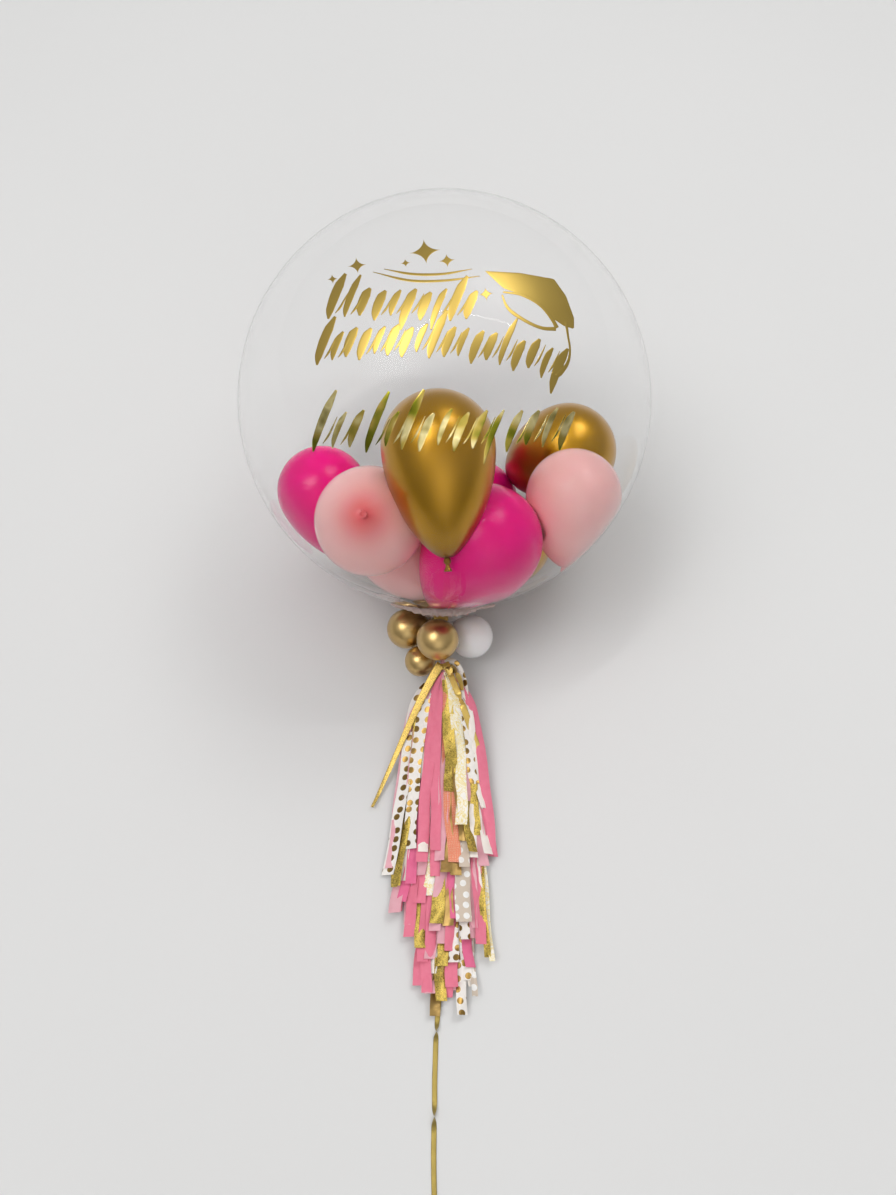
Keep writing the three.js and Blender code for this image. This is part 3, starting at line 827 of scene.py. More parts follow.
# It is laid on the film where the picture shows it. Places are pixels of the 896 by 1195 picture,
# and each is carried from the eye to the film.
VINYL_LIFT, VINYL_THICKNESS = 0.0006, 0.0002
STROKE_ROWS, STROKE_COLUMNS = 40, 5
LEAN = 0.36  # how far a stroke leans to the right, as a share of its height
TALL, LOW, UNEVEN = 2.1, 1.9, 0.14  # tall and low strokes in half heights, and the others' sway
SLIM = 0.72
STAR_POWER, STAR_TILT = 3.4, 0.12
BRUSH_ROWS = {
    # name: left, right, middle, rise to the right, arch, half height, strokes, width, the tall
    # ones, the low ones, look
    "ornament_row_upper": (333, 470, 303, 2, 0, 14.0, 10, 9.4, (0, 1, 8), (5, 7), "satin_vinyl"),
    "ornament_row_middle": (322, 560, 348, 17, -15, 15.0, 18, 9.0, (0, 8, 13), (17,), "satin_vinyl"),
    "ornament_row_lower": (320, 566, 430, -2, 1, 19.0, 15, 8.0, (0, 3, 5), (10,), "mirror_vinyl"),
}
STARS = [(425, 251.5, 15.5, 12.5), (357, 265.5, 9, 8.2), (332.5, 279, 5, 4.8),
         (405.5, 263, 4.8, 4.2), (447, 260.5, 8, 6.8), (486, 294, 7.5, 6.8)]
SWOOSHES = [((373, 272), (410, 280.5), (445, 280.5), (480, 276)),
            ((384, 269), (412, 274), (442, 274), (472, 269))]


def on_film(px, py):
    """Where the line from the eye through a pixel first meets the film's sphere, lifted."""
    centre, radius = bubble_centre(), sizes().radius + VINYL_LIFT
    px, py = np.asarray(px, float), np.asarray(py, float)
    right = (px - PICTURE_WIDTH / 2) / FOCAL_PIXELS
    rise = (PICTURE_HEIGHT / 2 - py) / FOCAL_PIXELS
    ray = unit(VIEW_FORWARD + right[..., None] * X_AXIS + rise[..., None] * VIEW_UP)
    back = EYE - centre
    b = (ray * back).sum(-1)
    root = np.sqrt(np.maximum(b ** 2 - (back @ back - radius ** 2), 1e-9))
    return EYE + (-b - root)[..., None] * ray


def brush_stroke(points, widths):
    """A flat stroke along pixels: its line is smooth, and its width follows the given ones."""
    line = curve_through(points, STROKE_ROWS)
    tangent = unit(np.gradient(line, axis=0))
    across = np.stack([-tangent[:, 1], tangent[:, 0]], axis=1)
    at = np.linspace(0, 1, len(widths))
    width = np.interp(np.linspace(0, 1, STROKE_ROWS), at, widths)
    offset = np.linspace(-0.5, 0.5, STROKE_COLUMNS)
    flat = line[:, None] + (width[:, None] * offset)[..., None] * across[:, None]
    return on_film(flat[..., 0], flat[..., 1])


def brush_row(left, right, middle, rise, arch, half, strokes, width, tall, low):
    """A row of slanted, tapered strokes, thick and slim by turns, with hairlines between them."""
    grids = []
    step = (right - left) / (strokes - 1)
    for i in range(strokes):
        share = i / (strokes - 1)
        x = left + (right - left) * share
        y = middle + rise * share + arch * 4 * share * (1 - share) + 1.5 * math.sin(2.4 * i)
        above = half * (TALL if i in tall else 1 + UNEVEN * math.sin(3.1 * i))
        below = half * (LOW if i in low else 1 + UNEVEN * math.cos(2.3 * i))
        thick = width * (SLIM if i % 3 == 1 else 1.0)
        body = [(x + LEAN * above + 2.0, y - above), (x + LEAN * above * 0.4, y - 0.45 * above),
                (x - LEAN * below * 0.6, y + 0.5 * below), (x - LEAN * below + 1.0, y + below)]
        grids.append(brush_stroke(body, [0.3 * thick, 0.95 * thick, thick, 0.8 * thick, 0.2 * thick]))
        if i < strokes - 1 and i % 4 != 2:
            hair = [(x + 0.16 * step, y + 0.72 * half), (x + 0.5 * step, y + 0.25 * half),
                    (x + 0.98 * step, y - 0.70 * half)]
            grids.append(brush_stroke(hair, [0.6, 2.2, 1.8, 0.6]))
    return grids


def star_grid(px, py, wide, tall):
    """A four-pointed star: a power of the cosine and of the sine, slimmer than an astroid."""
    angle = np.linspace(0, 2 * math.pi, 64, endpoint=False)
    share = np.linspace(0, 1, 8)[:, None]
    c, s = np.cos(angle), np.sin(angle)
    x = np.sign(c) * np.abs(c) ** STAR_POWER * wide
    y = np.sign(s) * np.abs(s) ** STAR_POWER * tall
    return on_film(px + share * (x + STAR_TILT * y), py + share * (y - STAR_TILT * x))


def filled(corners, centre):
    """A filled patch between a centre and an outline of pixels."""
    corners = np.asarray(corners, float)
    share = np.linspace(0, 1, 10)[:, None, None]
    flat = np.asarray(centre, float) + share * (corners[None] - centre)
    return on_film(flat[..., 0], flat[..., 1])


def outline(points):
    """A closed line of pixels with straight sides, cut into even steps."""
    points = np.asarray(points + points[:1], float)
    along = np.concatenate([[0], np.cumsum(np.linalg.norm(np.diff(points, axis=0), axis=1))])
    at = np.linspace(0, along[-1], 96, endpoint=False)
    return np.stack([np.interp(at, along, points[:, k]) for k in range(2)], axis=1)


def make_vinyl():
    """Brush rows, stars, swooshes and a graduate's cap, all thin film with a cut edge."""
    for name, (*row, look) in BRUSH_ROWS.items():
        piece = build(name, brush_row(*row))
        solidify(piece, VINYL_THICKNESS, flat=True)
        dress(piece, look_of(look), "satin_ribbon")
    stars = build("ornament_stars", [star_grid(*star) for star in STARS], around=True)
    lines = build("ornament_swooshes", [brush_stroke(s, [0.5, 2.4, 2.6, 2.2, 0.5]) for s in SWOOSHES])
    board = outline([(485, 271), (520, 273), (554, 279), (566, 296), (574, 318), (574, 329),
                     (564, 326), (552, 318), (536, 303), (520, 294), (504, 288.5), (501, 286)])
    cap = build("ornament_cap", [filled(board, (535, 290))], around=True)
    band_upper = [(503, 292), (522, 295), (540, 305), (552, 319), (557, 328)]
    band_lower = [(502, 295), (508, 308), (524, 320), (542, 328), (556, 329)]
    cord = [(566, 322), (568, 336), (570, 350), (568, 362), (563, 370), (556, 376), (552, 372)]
    strokes = [brush_stroke(band_upper, [1.5, 3.0, 3.0, 4.0]),
               brush_stroke(band_lower, [1.5, 3.5, 3.0, 4.0]),
               brush_stroke(cord, [3.0, 2.0, 2.0, 3.4, 5.0, 1.0])]
    trim = build("ornament_cap_trim", strokes)
    for piece in (stars, lines, cap, trim):
        solidify(piece, VINYL_THICKNESS, flat=True)
        dress(piece, look_of("satin_vinyl"), "satin_ribbon")


# Tassel

HEAD_DISTANCE, HEAD_HEIGHT, HEAD_SHIFT = 0.052, 0.048, 0.003
TWIST_LENGTH = 0.022
FALL_LENGTH = 0.080
FLARE_LENGTH = 0.018
DOME_SHARE, HEAP_LOWEST = 0.8, 0.0008
BUNCHES = {
    # start, twist's height, reach sideways, length, crown
    "upper": (0.0, HEAD_HEIGHT, 0.069, 0.252, 0.0235),
    "middle": (0.097, 0.012, 0.062, 0.240, 0.0155),
    "lower": (0.196, 0.006, 0.040, 0.224, 0.0088),
}
# The strips of each bunch from left to right: layer, place across (-1 to 1), change of
# length in mm, width in mm, paper
STRIPS = {
    "upper": [
        (0, -0.98, 10, 12, "rose"), (0, -0.88, 33, 8, "glitter"), (0, -0.70, 26, 14, "cream"),
        (0, -0.54, 30, 13, "deep_pink"), (0, -0.38, 20, 13, "rose"), (0, -0.18, 22, 12, "pink"),
        (0, 0.04, 18, 14, "bronze"), (0, 0.21, 21, 14, "bronze"), (0, 0.42, 12, 13, "vellum"),
        (0, 0.58, 0, 13, "cream"), (0, 0.74, 8, 13, "rose"), (0, 0.90, -4, 12, "pink"),
        (1, -0.95, 18, 15, "dots"), (1, -0.79, 33, 9, "glitter"), (1, -0.64, -74, 14, "rose"),
        (1, -0.40, -6, 12, "cream"), (1, -0.02, 4, 12, "rose"), (1, 0.16, 6, 16, "coral"),
        (1, 0.34, -20, 12, "bronze"), (1, 0.50, -6, 11, "glitter"), (1, 0.62, -28, 10, "glitter"),
        (1, 0.78, -5, 11, "cream"), (1, 0.44, -70, 12, "rose"),
        (2, -0.62, -11, 15, "dots"), (2, -0.35, 6, 14, "pink"), (2, -0.17, -8, 13, "pink"),
        (2, 0.12, -81, 15, "glitter"), (2, 0.36, -38, 15, "marbled"), (2, 0.60, -92, 12, "dots"),
        (2, 0.74, -62, 10, "cream"), (2, 0.92, -5, 13, "pink"),
    ],
    "middle": [
        (0, -0.86, -24, 13, "pink"), (0, -0.66, -8, 13, "rose"), (0, -0.46, 19, 13, "glitter"),
        (0, -0.24, 30, 13, "pink"), (0, -0.02, 14, 13, "rose"), (0, 0.20, 22, 13, "pink"),
        (0, 0.40, 10, 12, "dots"), (0, 0.58, 8, 12, "rose"), (0, 0.76, 12, 13, "cream"),
        (0, 0.98, 33, 7, "marbled"),
        (1, -0.91, -21, 15, "rose"), (1, -0.63, 6, 13, "pink"), (1, -0.34, 34, 13, "pink"),
        (1, -0.14, 0, 14, "rose"), (1, 0.08, -6, 13, "bronze"), (1, 0.26, -14, 13, "deep_pink"),
        (1, 0.62, -4, 13, "rose"), (1, 0.79, 15, 13, "pink"), (1, 0.90, 29, 8, "glitter"),
        (2, -0.76, -34, 12, "deep_pink"), (2, -0.48, -32, 15, "pink"), (2, -0.25, -41, 13, "marbled"),
        (2, -0.08, -39, 14, "rose"), (2, -0.11, -8, 16, "glitter"), (2, 0.43, -10, 19, "vellum"),
    ],
    "lower": [
        (0, -0.69, -23, 12, "pink"), (0, -0.46, -14, 13, "rose"), (0, -0.20, 10, 12, "bronze"),
        (0, 0.06, -10, 13, "pink"), (0, 0.32, -18, 12, "rose"), (0, 0.62, 9, 12, "dots"),
        (0, 0.84, -22, 11, "cream"), (0, 1.00, -11, 7, "vellum"),
        (1, -0.52, -15, 13, "pink"), (1, -0.32, -36, 9, "cream"), (1, -0.12, -6, 13, "glitter"),
        (1, 0.21, -21, 15, "pink"), (1, 0.66, -29, 12, "dots"), (1, 0.86, -43, 12, "deep_pink"),
        (2, -0.30, -52, 13, "rose"), (2, 0.04, -44, 13, "glitter"), (2, 0.36, -48, 12, "dots"),
    ],
}
LAYER_STEP, LAYER_FLOOR_STEP, STRIP_FLOOR = 0.0022, 0.0007, 0.0006
STRIP_ROWS, STRIP_COLUMNS = 64, 6
OPEN_AT_TWIST = 0.06  # share of its place that a strip has where it leaves the twist
WIDTH_AT_TWIST, FULL_WIDTH_AT = 0.30, 0.055
STRIP_TWIST, STRIP_BOW, END_CURL = 0.30, 0.0016, 0.010
SLOW_WANDER, QUICK_WANDER = 0.0030, 0.0010
SETTLE, SETTLE_RATE = 0.0002, 400
# Waves along a strip: height, how often, how much it slants across the strip
WAVES = ((0.0010, 9, 0), (0.0006, 23, 2), (0.00025, 61, 5))
TWIST_RADIUS, TWIST_SPAN = 0.006, 0.033


def tassel_line():
    """Where the tassel's line starts, across and along the floor."""
    _, _, _, tie = neck_frame()
    return tie[0] + HEAD_SHIFT, tie[1] - HEAD_DISTANCE


def heap_height(bunch, beside, past):
    """Height of a bunch over the floor: a low dome across, reached by falling from the twist."""
    _, height, _, _, crown = BUNCHES[bunch]
    dome = crown * (1 - DOME_SHARE * (beside / bpy.context.scene.tassel_sizes.dome_width) ** 2)
    fall = (height - crown) * np.exp(-((np.maximum(past, 0) / FALL_LENGTH) ** 2))
    return np.maximum(dome + fall, HEAP_LOWEST)


def paper_strip(bunch, layer, across, longer, width, seed):
    """One strip: it leaves the twist, spreads to its place, lies on the heap and curls a little.
    Across, it is bowed by a parabola that fades along it; along, three sines make it wave. Below
    its layer's lowest height it is held up by a hyperbolic tangent."""
    start, _, reach, length, _ = BUNCHES[bunch]
    x0, y0 = tassel_line()
    rng = np.random.default_rng(seed)
    full = length - TWIST_LENGTH + longer * MM
    past = np.linspace(0, full, STRIP_ROWS)[:, None]
    over = np.linspace(-0.5, 0.5, STRIP_COLUMNS)[None, :]
    share = past / full
    flare = 0.5 * (1 - np.exp(-past / FLARE_LENGTH)) + 0.5 * share
    opened = OPEN_AT_TWIST + (1 - OPEN_AT_TWIST) * flare
    phase = rng.uniform(0, 2 * math.pi, 6)
    wander = share * (SLOW_WANDER * np.sin(5 * share + phase[0])
                      + QUICK_WANDER * np.sin(17 * share + phase[1]))
    wide = width * MM * np.clip(WIDTH_AT_TWIST + past / FULL_WIDTH_AT, 0, 1)
    beside = reach * across * opened + wander + over * wide
    twist = STRIP_TWIST * np.sin(4.2 * share + phase[2]) * (0.25 + share) * over * wide
    bow = STRIP_BOW * (1 - 0.5 * share) * (4 * over ** 2 - 0.5) * rng.choice([-1, 1])
    wave = sum(high * np.sin(often * share + turn + slant * over)
               for (high, often, slant), turn in zip(WAVES, phase[3:]))
    curl = END_CURL * rng.uniform(-0.1, 1.0) ** 2 * np.clip((share - 0.8) / 0.2, 0, 1) ** 2
    rise = heap_height(bunch, beside, past) + layer * LAYER_STEP + twist + bow + wave + curl
    floor = STRIP_FLOOR + layer * LAYER_FLOOR_STEP
    z = np.where(rise > floor, rise, floor + SETTLE * np.tanh((rise - floor) * SETTLE_RATE))
    y = np.broadcast_to(y0 - start - TWIST_LENGTH - past, z.shape)
    along = np.broadcast_to(past + 0.37 * seed, z.shape)
    return (np.stack([x0 + beside, y, z], axis=-1),
            np.stack([over * wide + 0.13 * seed, along], axis=-1))


def twisted_top(bunch):
    """The bunch's folded middle, twisted: a closed lathe whose three ridges wind round it."""
    start, height, _, _, _ = BUNCHES[bunch]
    x0, y0 = tassel_line()
    radius = min(TWIST_RADIUS, height - FLOOR_GAP)
    t = np.linspace(0, 1, 40)
    swell = radius * (0.55 + 0.45 * t ** 0.7)
    rounded = np.sqrt(np.clip(1 - (2 * t - 1) ** 14, 0, 1))
    profile = np.stack([swell * rounded, t * TWIST_SPAN], axis=1)

    def wind(share, turn):
        return 1 - 0.16 * np.abs(np.sin(3 * turn + 9 * share)) ** 3, np.zeros_like(turn)

    return turned(profile, -Y_AXIS, X_AXIS, np.array([x0, y0 - start, height]), 60, wind)


PAPER_SLOT = {"upper": "pink_paper", "middle": "rose_paper", "lower": "cream_paper"}


def make_tassel():
    """Strips of one paper in one bunch are one piece; the twisted top stands for the node."""
    thick = bpy.context.scene.tassel_sizes.strip_thickness
    for number, (bunch, strips) in enumerate(STRIPS.items()):
        papers = {}
        for i, (layer, across, longer, width, paper) in enumerate(strips):
            papers.setdefault(paper, []).append(
                paper_strip(bunch, layer, across, longer, width, 100 * number + i + 1))
        for paper, made in papers.items():
            piece = build(f"tassel_{bunch}_{paper}", [g for g, _ in made], uvs=[u for _, u in made])
            solidify(piece, thick, flat=True)
            dress(piece, look_of(paper), PAPER_SLOT[bunch])
        top = closed(f"tassel_{bunch}_twist", [twisted_top(bunch)])
        dress(top, look_of("rose"), PAPER_SLOT[bunch], f"tassel_{bunch}")


# Ribbons

# Radii, widths and lengths in metres, of the band round the head and the tie round the neck
KNOT_BAND_START, KNOT_BAND_LENGTH = 0.011, 0.008
KNOT_BAND_INNER, KNOT_BAND_OUTER, KNOT_BAND_RIDGE = 0.0063, 0.0093, 0.0008
TIE_INNER, TIE_RADIUS, TIE_RIDGE, TIE_WIDTH, TIE_WINDS = 0.0062, 0.0088, 0.0011, 0.009, 5
STRAND_WIDTH, STRAND_THICKNESS, STRAND_TURN = 0.0056, 0.0016, 5  # the turn is in radians
STRAND_RUN_IN, STRAND_END_GAP = 0.005, 0.0006
TAIL_STEPS, TAIL_STAND, TAIL_START_HEIGHT = 70, 0.0006, 0.0105
# Tails: side and out at the start, side and out at the end, lift
GLITTER_TAIL = (-0.003, 0.0125, -0.090, 0.186, 0.0042)
SATIN_TAIL = (0.003, 0.0135, 0.045, 0.118, 0.0044)
GLITTER_WIDTH, GLITTER_TAPER, SATIN_WIDTH = 0.0112, 0.0068, 0.0085
GLITTER_ROLL, GLITTER_ROLL_ON, GLITTER_RISE, GLITTER_WAVE = 0.10, 0.75, 0.4, 0.0012
SATIN_ROLL, FOLD_ROLL, FOLD_PLACE, FOLD_SPREAD = -0.2, 1.5, 0.42, 0.06


def make_neck_tie():
    """Ribbon wound round the neck, turn beside turn, and its strand to the tassel."""
    axis, side, up, tie = neck_frame()
    x0, y0 = tassel_line()
    winds = np.linspace(0, TIE_WINDS * math.pi, 56)
    ridge = TIE_RADIUS + TIE_RIDGE * np.abs(np.sin(winds))
    section = band_section(TIE_INNER, ridge, -TIE_WIDTH / 2, TIE_WIDTH)
    wound = turned(section, axis, side, tie, 48)
    start = tie + TIE_RADIUS * math.sqrt(0.5) * (up - side)
    end = np.array([x0, y0 + STRAND_END_GAP, HEAD_HEIGHT])
    before = end + STRAND_RUN_IN * Y_AXIS
    route = curve_through([start, tie + STRAND_BEND, before, end], 60)
    across = rolled(np.linspace(0, STRAND_TURN, 60))
    strand = carried(route, STRAND_WIDTH, STRAND_THICKNESS, across, 48)
    piece = closed("neck_ribbon_wrap", [wound, strand], uvs=[wound[..., :2], strand[..., :2]])
    dress(piece, look_of("satin_ribbon"), "tie", "neck_tie")


def tail_line(start_side, start_out, end_side, end_out, lift):
    """A tail's middle line over the upper bunch, as in the solid that it stands for: it starts
    high on the twist and sinks to its lift over the heap, by an exponential."""
    x0, y0 = tassel_line()
    share = np.linspace(0, 1, TAIL_STEPS)
    beside = start_side + (end_side - start_side) * share ** 0.9
    out = start_out + (end_out - start_out) * share
    height = heap_height("upper", beside, np.maximum(0, out - TWIST_LENGTH))
    z = height + lift + (TAIL_START_HEIGHT - lift) * np.exp(-share * 4) + TAIL_STAND
    return np.stack([x0 + beside, y0 - out, z], axis=1), share


def make_tails():
    """Two ribbon tails and the band that they start from. The glitter one tapers and rolls over
    evenly; the satin one's roll peaks, as a bell curve, where it folds over."""
    x0, y0 = tassel_line()
    line, share = tail_line(*GLITTER_TAIL)
    line[:, 2] += GLITTER_WAVE * np.sin(7 * share) * share
    across = rolled(GLITTER_ROLL + GLITTER_ROLL_ON * share, GLITTER_RISE)
    flat_ribbon("ribbon_tail_glitter_band", line, GLITTER_WIDTH - GLITTER_TAPER * share, across,
                "glitter_ribbon", "glitter_ribbon", "ribbon_tail_glitter")

    winds = np.linspace(0, 3 * math.pi, 40)
    ridge = KNOT_BAND_OUTER + KNOT_BAND_RIDGE * (np.abs(np.sin(winds)) - 1)
    section = band_section(KNOT_BAND_INNER, ridge, 0.0, KNOT_BAND_LENGTH)
    start = np.array([x0, y0 - KNOT_BAND_START, HEAD_HEIGHT])
    band = turned(section, -Y_AXIS, X_AXIS, start, 48)
    satin = closed("ribbon_tail_satin_band", [band], uvs=[band[..., :2]])
    dress(satin, look_of("glitter_ribbon"), "satin_ribbon", "ribbon_tail_satin")
    line, share = tail_line(*SATIN_TAIL)
    roll = SATIN_ROLL + FOLD_ROLL * np.exp(-((share - FOLD_PLACE) / FOLD_SPREAD) ** 2)
    flat_ribbon("ribbon_tail_satin_end", line, SATIN_WIDTH, rolled(roll), "satin_ribbon",
                "satin_ribbon")


# The tether's route on the floor, the points that its solid follows
TETHER_ROUTE = [
    (-5, -643), (-6, -660), (-7.5, -678), (-9, -696), (-10, -714), (-10.5, -732), (-11, -750),
    (-11, -768), (-11.2, -786), (-11.5, -804), (-11.7, -822), (-11.5, -840), (-11, -858),
    (-10.5, -872), (-10, -886),
]
TETHER_TURNS = ((-0.700, 0.022), (-0.788, 0.028))  # where it turns over, and over what length
LOOP_RADIUS, LOOP_KNOT, LOOP_INSET, LOOP_OVAL = 0.016, 0.005, 0.003, 0.86
LOOP_HEIGHT, LOOP_RISE, LOOP_WIDTH = 0.0012, 0.0012, 0.9  # the width is in ribbon widths
KNOT_HALF_WIDTH, KNOT_HALF_LENGTH, KNOT_MIDDLE, KNOT_RISE = 0.0027, 0.0034, 0.0037, 0.0022
KNOT_STRAND, KNOT_STRAND_THICKNESS, KNOT_LOBES = 0.0026, 0.0011, 0.45
STAND_OFF, FLAT_ROLL = 0.0006, 0.12  # how far its middle is off the floor, and its roll there


# Small pieces at the tassel's head, each with its points (side, out, up in mm from the twist's
# top), width and paper
HEAD_CURLS = {
    "head_curl_white": ([(2, 6, 8), (12, 9, 10), (20, 22, 8), (24, 38, 2), (27, 56, -6)],
                        0.005, "cream"),
    "head_curl_dotted": ([(4, 3, 7), (16, 10, 12), (26, 28, 7), (30, 48, -2), (31, 66, -10)],
                         0.006, "dots"),
    "head_foil": ([(5, 16, 11), (10, 18, 13), (14, 21, 12), (15, 25, 10)], 0.009, "bronze"),
    "head_fold_satin": ([(3, 10, 10), (8, 20, 12), (10, 27, 11), (17, 27, 11), (22, 36, 8),
                         (24, 46, 4)], 0.008, "satin_ribbon"),
    "head_loop_glitter": ([(-2, 4, 9), (-5, -3, 12), (1, -9, 12), (6, -3, 12), (2, 6, 10)], 0.006,
                          "glitter_ribbon"),
}
CURL_ROLLS, CURL_RISE = (0.3, 1.3), 0.5


def make_head_curls():
    """Ribbon ends and paper curls that stand off the top of the tassel."""
    x0, y0 = tassel_line()
    for name, (points, width, paper) in HEAD_CURLS.items():
        side, out, rise = np.array(points, float).T * MM
        line = curve_through(np.stack([x0 + side, y0 - out, HEAD_HEIGHT + rise], axis=1), 40)
        across = rolled(np.linspace(*CURL_ROLLS, 40), CURL_RISE)
        flat_ribbon(name, line, width, across, paper, "pink_paper")


def tied_loop(end, width):
    """(knot, loop) as grids: the knot is a trefoil, and the loop an open oval of flat ribbon."""
    turn = np.linspace(0, 2 * math.pi, 90)
    lobes = 1 + KNOT_LOBES * np.cos(3 * turn)
    knot = np.stack([end[0] + KNOT_HALF_WIDTH * np.cos(2 * turn) * lobes,
                     end[1] - LOOP_KNOT + KNOT_HALF_LENGTH * np.sin(2 * turn) * lobes,
                     KNOT_MIDDLE + KNOT_RISE * np.sin(3 * turn)], axis=1)
    standing = np.tile(Z_AXIS + 0.2 * X_AXIS, (90, 1))
    around = np.linspace(0.25, 2 * math.pi - 0.25, 90)
    reach = LOOP_RADIUS - LOOP_INSET
    middle = end[1] - 2 * LOOP_KNOT - reach
    loop = np.stack([end[0] + LOOP_OVAL * reach * np.sin(around), middle + reach * np.cos(around),
                     LOOP_HEIGHT + LOOP_RISE * np.cos(around) ** 2], axis=1)
    outward = loop - np.array([end[0], middle, loop[0, 2] - MM])
    return (carried(knot, KNOT_STRAND, KNOT_STRAND_THICKNESS, standing),
            carried(loop, width * LOOP_WIDTH, RIBBON_THICKNESS, outward))


def make_tether():
    """Flat ribbon that turns over twice; it lies flat or, in a turn, stands on its edge. Each
    turn is a logistic curve of half a turn."""
    width = bpy.context.scene.tassel_sizes.ribbon_width
    flat = np.array([(x * MM, y * MM, 0.0) for x, y in TETHER_ROUTE])
    line = curve_through(flat, 160)
    roll = np.full(len(line), FLAT_ROLL)
    for place, length in TETHER_TURNS:
        roll = roll + math.pi / (1 + np.exp((line[:, 1] - place) / (length / 6)))
    line[:, 2] = STAND_OFF + (width / 2) * np.abs(np.sin(roll))
    tether = flat_ribbon("tether_ribbon_strand", line, width, rolled(roll), "tether_ribbon",
                         "satin_ribbon", "tether_ribbon")
    knot, loop = tied_loop(line[-1], width)
    piece = closed("tether_loop_tied", [knot, loop], uvs=[knot[..., :2], loop[..., :2]])
    dress(piece, look_of("tether_ribbon"), "satin_ribbon", "tether_loop")
    length = float(np.linalg.norm(np.diff(line, axis=0), axis=1).sum())


# Camera and stage

def make_camera():
    """A lens whose focal length in pixels, over the picture's height, is that of the sensor."""
    data = bpy.data.cameras.new("camera")
    data.sensor_fit = "VERTICAL"
    data.sensor_height = SENSOR
    data.lens = SENSOR * FOCAL_PIXELS / PICTURE_HEIGHT
    camera = bpy.data.objects.new("camera", data)
    camera.location = Vector(EYE)
    camera.rotation_euler = (math.pi / 2 - PITCH, 0, 0)
    bpy.context.scene.collection.objects.link(camera)
    bpy.context.scene.camera = camera


# Strip lamps, which face the origin: place, width, length, watts, turn in degrees
LAMPS = {
    "ceiling_strip_left": ((-0.35, 0.15, 2.4), 0.04, 0.8, 4.5, 62),
    "ceiling_strip_right": ((0.9, 0.35, 2.4), 0.04, 0.9, 4.0, -24),
}


def make_lamps():
    """Each strip lamp looks at the origin and is turned about that line."""
    for name, (place, width, length, watts, turn) in LAMPS.items():
        data = bpy.data.lights.new(name, "AREA")
        data.shape = "RECTANGLE"
        data.size = width
        data.size_y = length
        data.energy = watts
        lamp = bpy.data.objects.new(name, data)
        lamp.location = place
        lamp.rotation_euler = (-Vector(place)).to_track_quat("-Z", "Y").to_euler()
        lamp.rotation_euler.rotate_axis("Z", math.radians(turn))
        bpy.context.scene.collection.objects.link(lamp)


# The room is dim low down and towards -Y and brighter overhead. A direction's place among the
# tones is the level at the side plus these shares of its height and depth. The three soft panels
# are each a direction, a sharpness and a strength.
HEIGHT_SHARE, DEPTH_SHARE, LEVEL_AT_SIDE = 0.45, 0.25, 0.42
ROOM_TONES = [(0.0, 0.08), (0.28, 0.18), (0.55, 0.40), (0.85, 0.52)]
ROOM_PANELS = [((-0.42, -0.10, 0.90), 36.0, 6.2), ((0.35, 0.45, 0.82), 60.0, 6.0),
               ((0.10, -0.80, 0.58), 12.0, 0.8)]


def make_room():
    """World light: a tone for each height and depth, plus a lobe for each panel, the cosine of
    the angle from its direction raised to its sharpness."""
    world = bpy.data.worlds.new("room")
    bpy.context.scene.world = world
    world.use_nodes = True
    nodes, links = world.node_tree.nodes, world.node_tree.links

    def math_node(operation, first, second, third=0.0):
        node = nodes.new("ShaderNodeMath")
        node.operation = operation
        for socket, value in zip(node.inputs, (first, second, third)):
            if isinstance(value, float):
                socket.default_value = value
            else:
                links.new(value, socket)
        return node.outputs[0]

    direction = nodes.new("ShaderNodeTexCoord").outputs["Generated"]
    split = nodes.new("ShaderNodeSeparateXYZ")
    links.new(direction, split.inputs[0])
    level = math_node("MULTIPLY_ADD", split.outputs["Z"], HEIGHT_SHARE, LEVEL_AT_SIDE)
    level = math_node("MULTIPLY_ADD", split.outputs["Y"], DEPTH_SHARE, level)
    ramp = nodes.new("ShaderNodeValToRGB")
    links.new(level, ramp.inputs["Fac"])
    marks = ramp.color_ramp.elements
    while len(marks) < len(ROOM_TONES):
        marks.new(0.5)
    for mark, (position, grey) in zip(marks, ROOM_TONES):
        mark.position = position
        mark.color = (grey, grey, grey, 1)
    total = ramp.outputs["Color"]
    for toward, sharpness, strength in ROOM_PANELS:
        dot = nodes.new("ShaderNodeVectorMath")
        dot.operation = "DOT_PRODUCT"
        dot.inputs[1].default_value = Vector(toward).normalized()
        links.new(direction, dot.inputs[0])
        lobe = math_node("POWER", math_node("MAXIMUM", dot.outputs["Value"], 0.0), sharpness)
        total = math_node("MULTIPLY_ADD", lobe, strength, total)
    links.new(total, nodes["Background"].inputs["Color"])
    nodes["Background"].inputs["Strength"].default_value = 1.0


FLOOR_REACH = 14.0  # metres from the middle to each edge


def make_stage():
    """A square floor of even cells, the room's light and the lamps."""
    edge = np.linspace(-FLOOR_REACH, FLOOR_REACH, 8)
    x, y = np.meshgrid(edge, edge, indexing="xy")
    floor = build("floor", [np.stack([x, y, 0 * x], axis=-1)], smooth=False)
    floor.data.materials.append(floor_look(tuple(bpy.context.scene.balloon_colours.floor)))
    make_room()
    make_lamps()
    bpy.context.scene.view_settings.view_transform = "Standard"


# Operators, panel and registration

class BuildCamera(bpy.types.Operator):
    """Place the camera over the lying balloon"""

    bl_idname = "balloon.camera"
    bl_label = "Camera"

    def execute(self, context):
        make_camera()
        return {"FINISHED"}


class BuildTether(bpy.types.Operator):
    """Lay the tether ribbon and its loop on the floor"""

    bl_idname = "balloon.tether"
    bl_label = "Tether ribbon"

    def execute(self, context):
        make_tether()
        return {"FINISHED"}


class BuildFilm(bpy.types.Operator):
    """Blow the clear film with its pleated neck"""

    bl_idname = "balloon.film"
    bl_label = "Bubble film"

    def execute(self, context):
        make_film()
        make_collar()
        return {"FINISHED"}


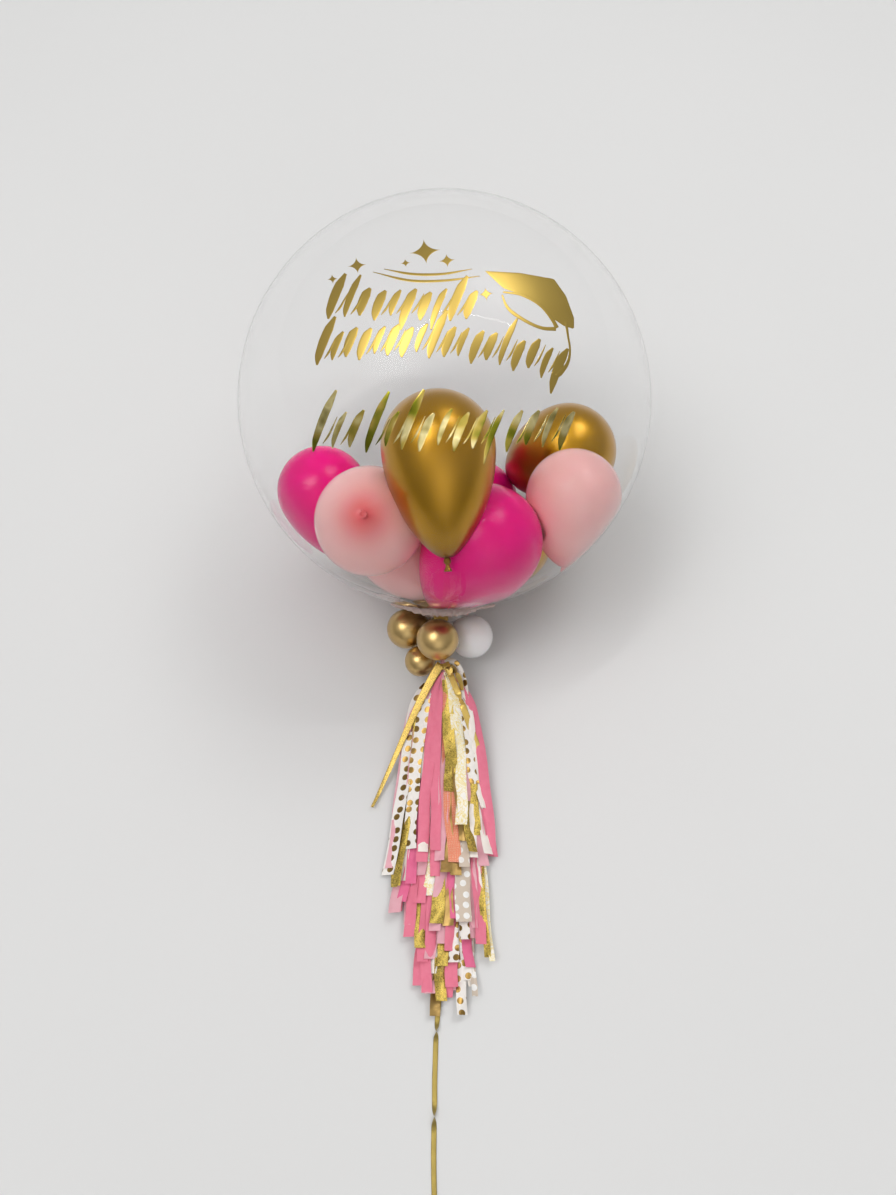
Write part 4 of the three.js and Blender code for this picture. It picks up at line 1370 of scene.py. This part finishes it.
class BuildInnerBalloons(bpy.types.Operator):
    """Pile the latex balloons inside the bubble"""

    bl_idname = "balloon.inner"
    bl_label = "Inner balloons"

    def execute(self, context):
        make_inner_balloons()
        return {"FINISHED"}


class BuildMiniBalloons(bpy.types.Operator):
    """Tie the small balloons round the neck"""

    bl_idname = "balloon.minis"
    bl_label = "Mini balloons"

    def execute(self, context):
        make_mini_balloons()
        return {"FINISHED"}


class BuildVinyl(bpy.types.Operator):
    """Lay the gold ornament on the film"""

    bl_idname = "balloon.vinyl"
    bl_label = "Vinyl ornament"

    def execute(self, context):
        make_vinyl()
        return {"FINISHED"}


class BuildTassel(bpy.types.Operator):
    """Lay the three bunches of paper strips"""

    bl_idname = "balloon.tassel"
    bl_label = "Paper tassel"

    def execute(self, context):
        make_tassel()
        return {"FINISHED"}


class BuildRibbons(bpy.types.Operator):
    """Wind the neck tie and lay the ribbon tails"""

    bl_idname = "balloon.ribbons"
    bl_label = "Tie and tails"

    def execute(self, context):
        make_neck_tie()
        make_tails()
        make_head_curls()
        return {"FINISHED"}


class BuildStage(bpy.types.Operator):
    """Add the floor, the room's light and the lamps"""

    bl_idname = "balloon.stage"
    bl_label = "Stage"

    def execute(self, context):
        make_stage()
        return {"FINISHED"}


OPERATORS = (BuildCamera, BuildTether, BuildFilm, BuildInnerBalloons, BuildMiniBalloons,
             BuildVinyl, BuildTassel, BuildRibbons, BuildStage)
GROUPS = {"bubble_sizes": BubbleSizes, "tassel_sizes": TasselSizes,
          "balloon_colours": BalloonColours}


class BalloonPanel(bpy.types.Panel):
    """Lists the balloon's pieces and sizes"""

    bl_idname = "VIEW3D_PT_balloon"
    bl_label = "Clear bubble balloon"
    bl_space_type = "VIEW_3D"
    bl_region_type = "UI"
    bl_category = "Balloon"

    def draw(self, context):
        """A button for each operator, then every size and colour."""
        for operator in OPERATORS:
            self.layout.operator(operator.bl_idname)
        for name, group in GROUPS.items():
            for field in group.__annotations__:
                self.layout.prop(getattr(context.scene, name), field)


def register():
    """Registers the groups, their places in the scene, the operators and the panel."""
    for group in GROUPS.values():
        bpy.utils.register_class(group)
    for name, group in GROUPS.items():
        setattr(bpy.types.Scene, name, bpy.props.PointerProperty(type=group))
    for operator in OPERATORS:
        bpy.utils.register_class(operator)
    bpy.utils.register_class(BalloonPanel)


def unregister():
    """Takes out what register put in, in the other order."""
    bpy.utils.unregister_class(BalloonPanel)
    for operator in reversed(OPERATORS):
        bpy.utils.unregister_class(operator)
    for name, group in GROUPS.items():
        delattr(bpy.types.Scene, name)
        bpy.utils.unregister_class(group)


def main():
    """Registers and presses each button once."""
    register()
    for operator in OPERATORS:
        group, name = operator.bl_idname.split(".")
        getattr(getattr(bpy.ops, group), name)()


if __name__ == "__main__":
    main()
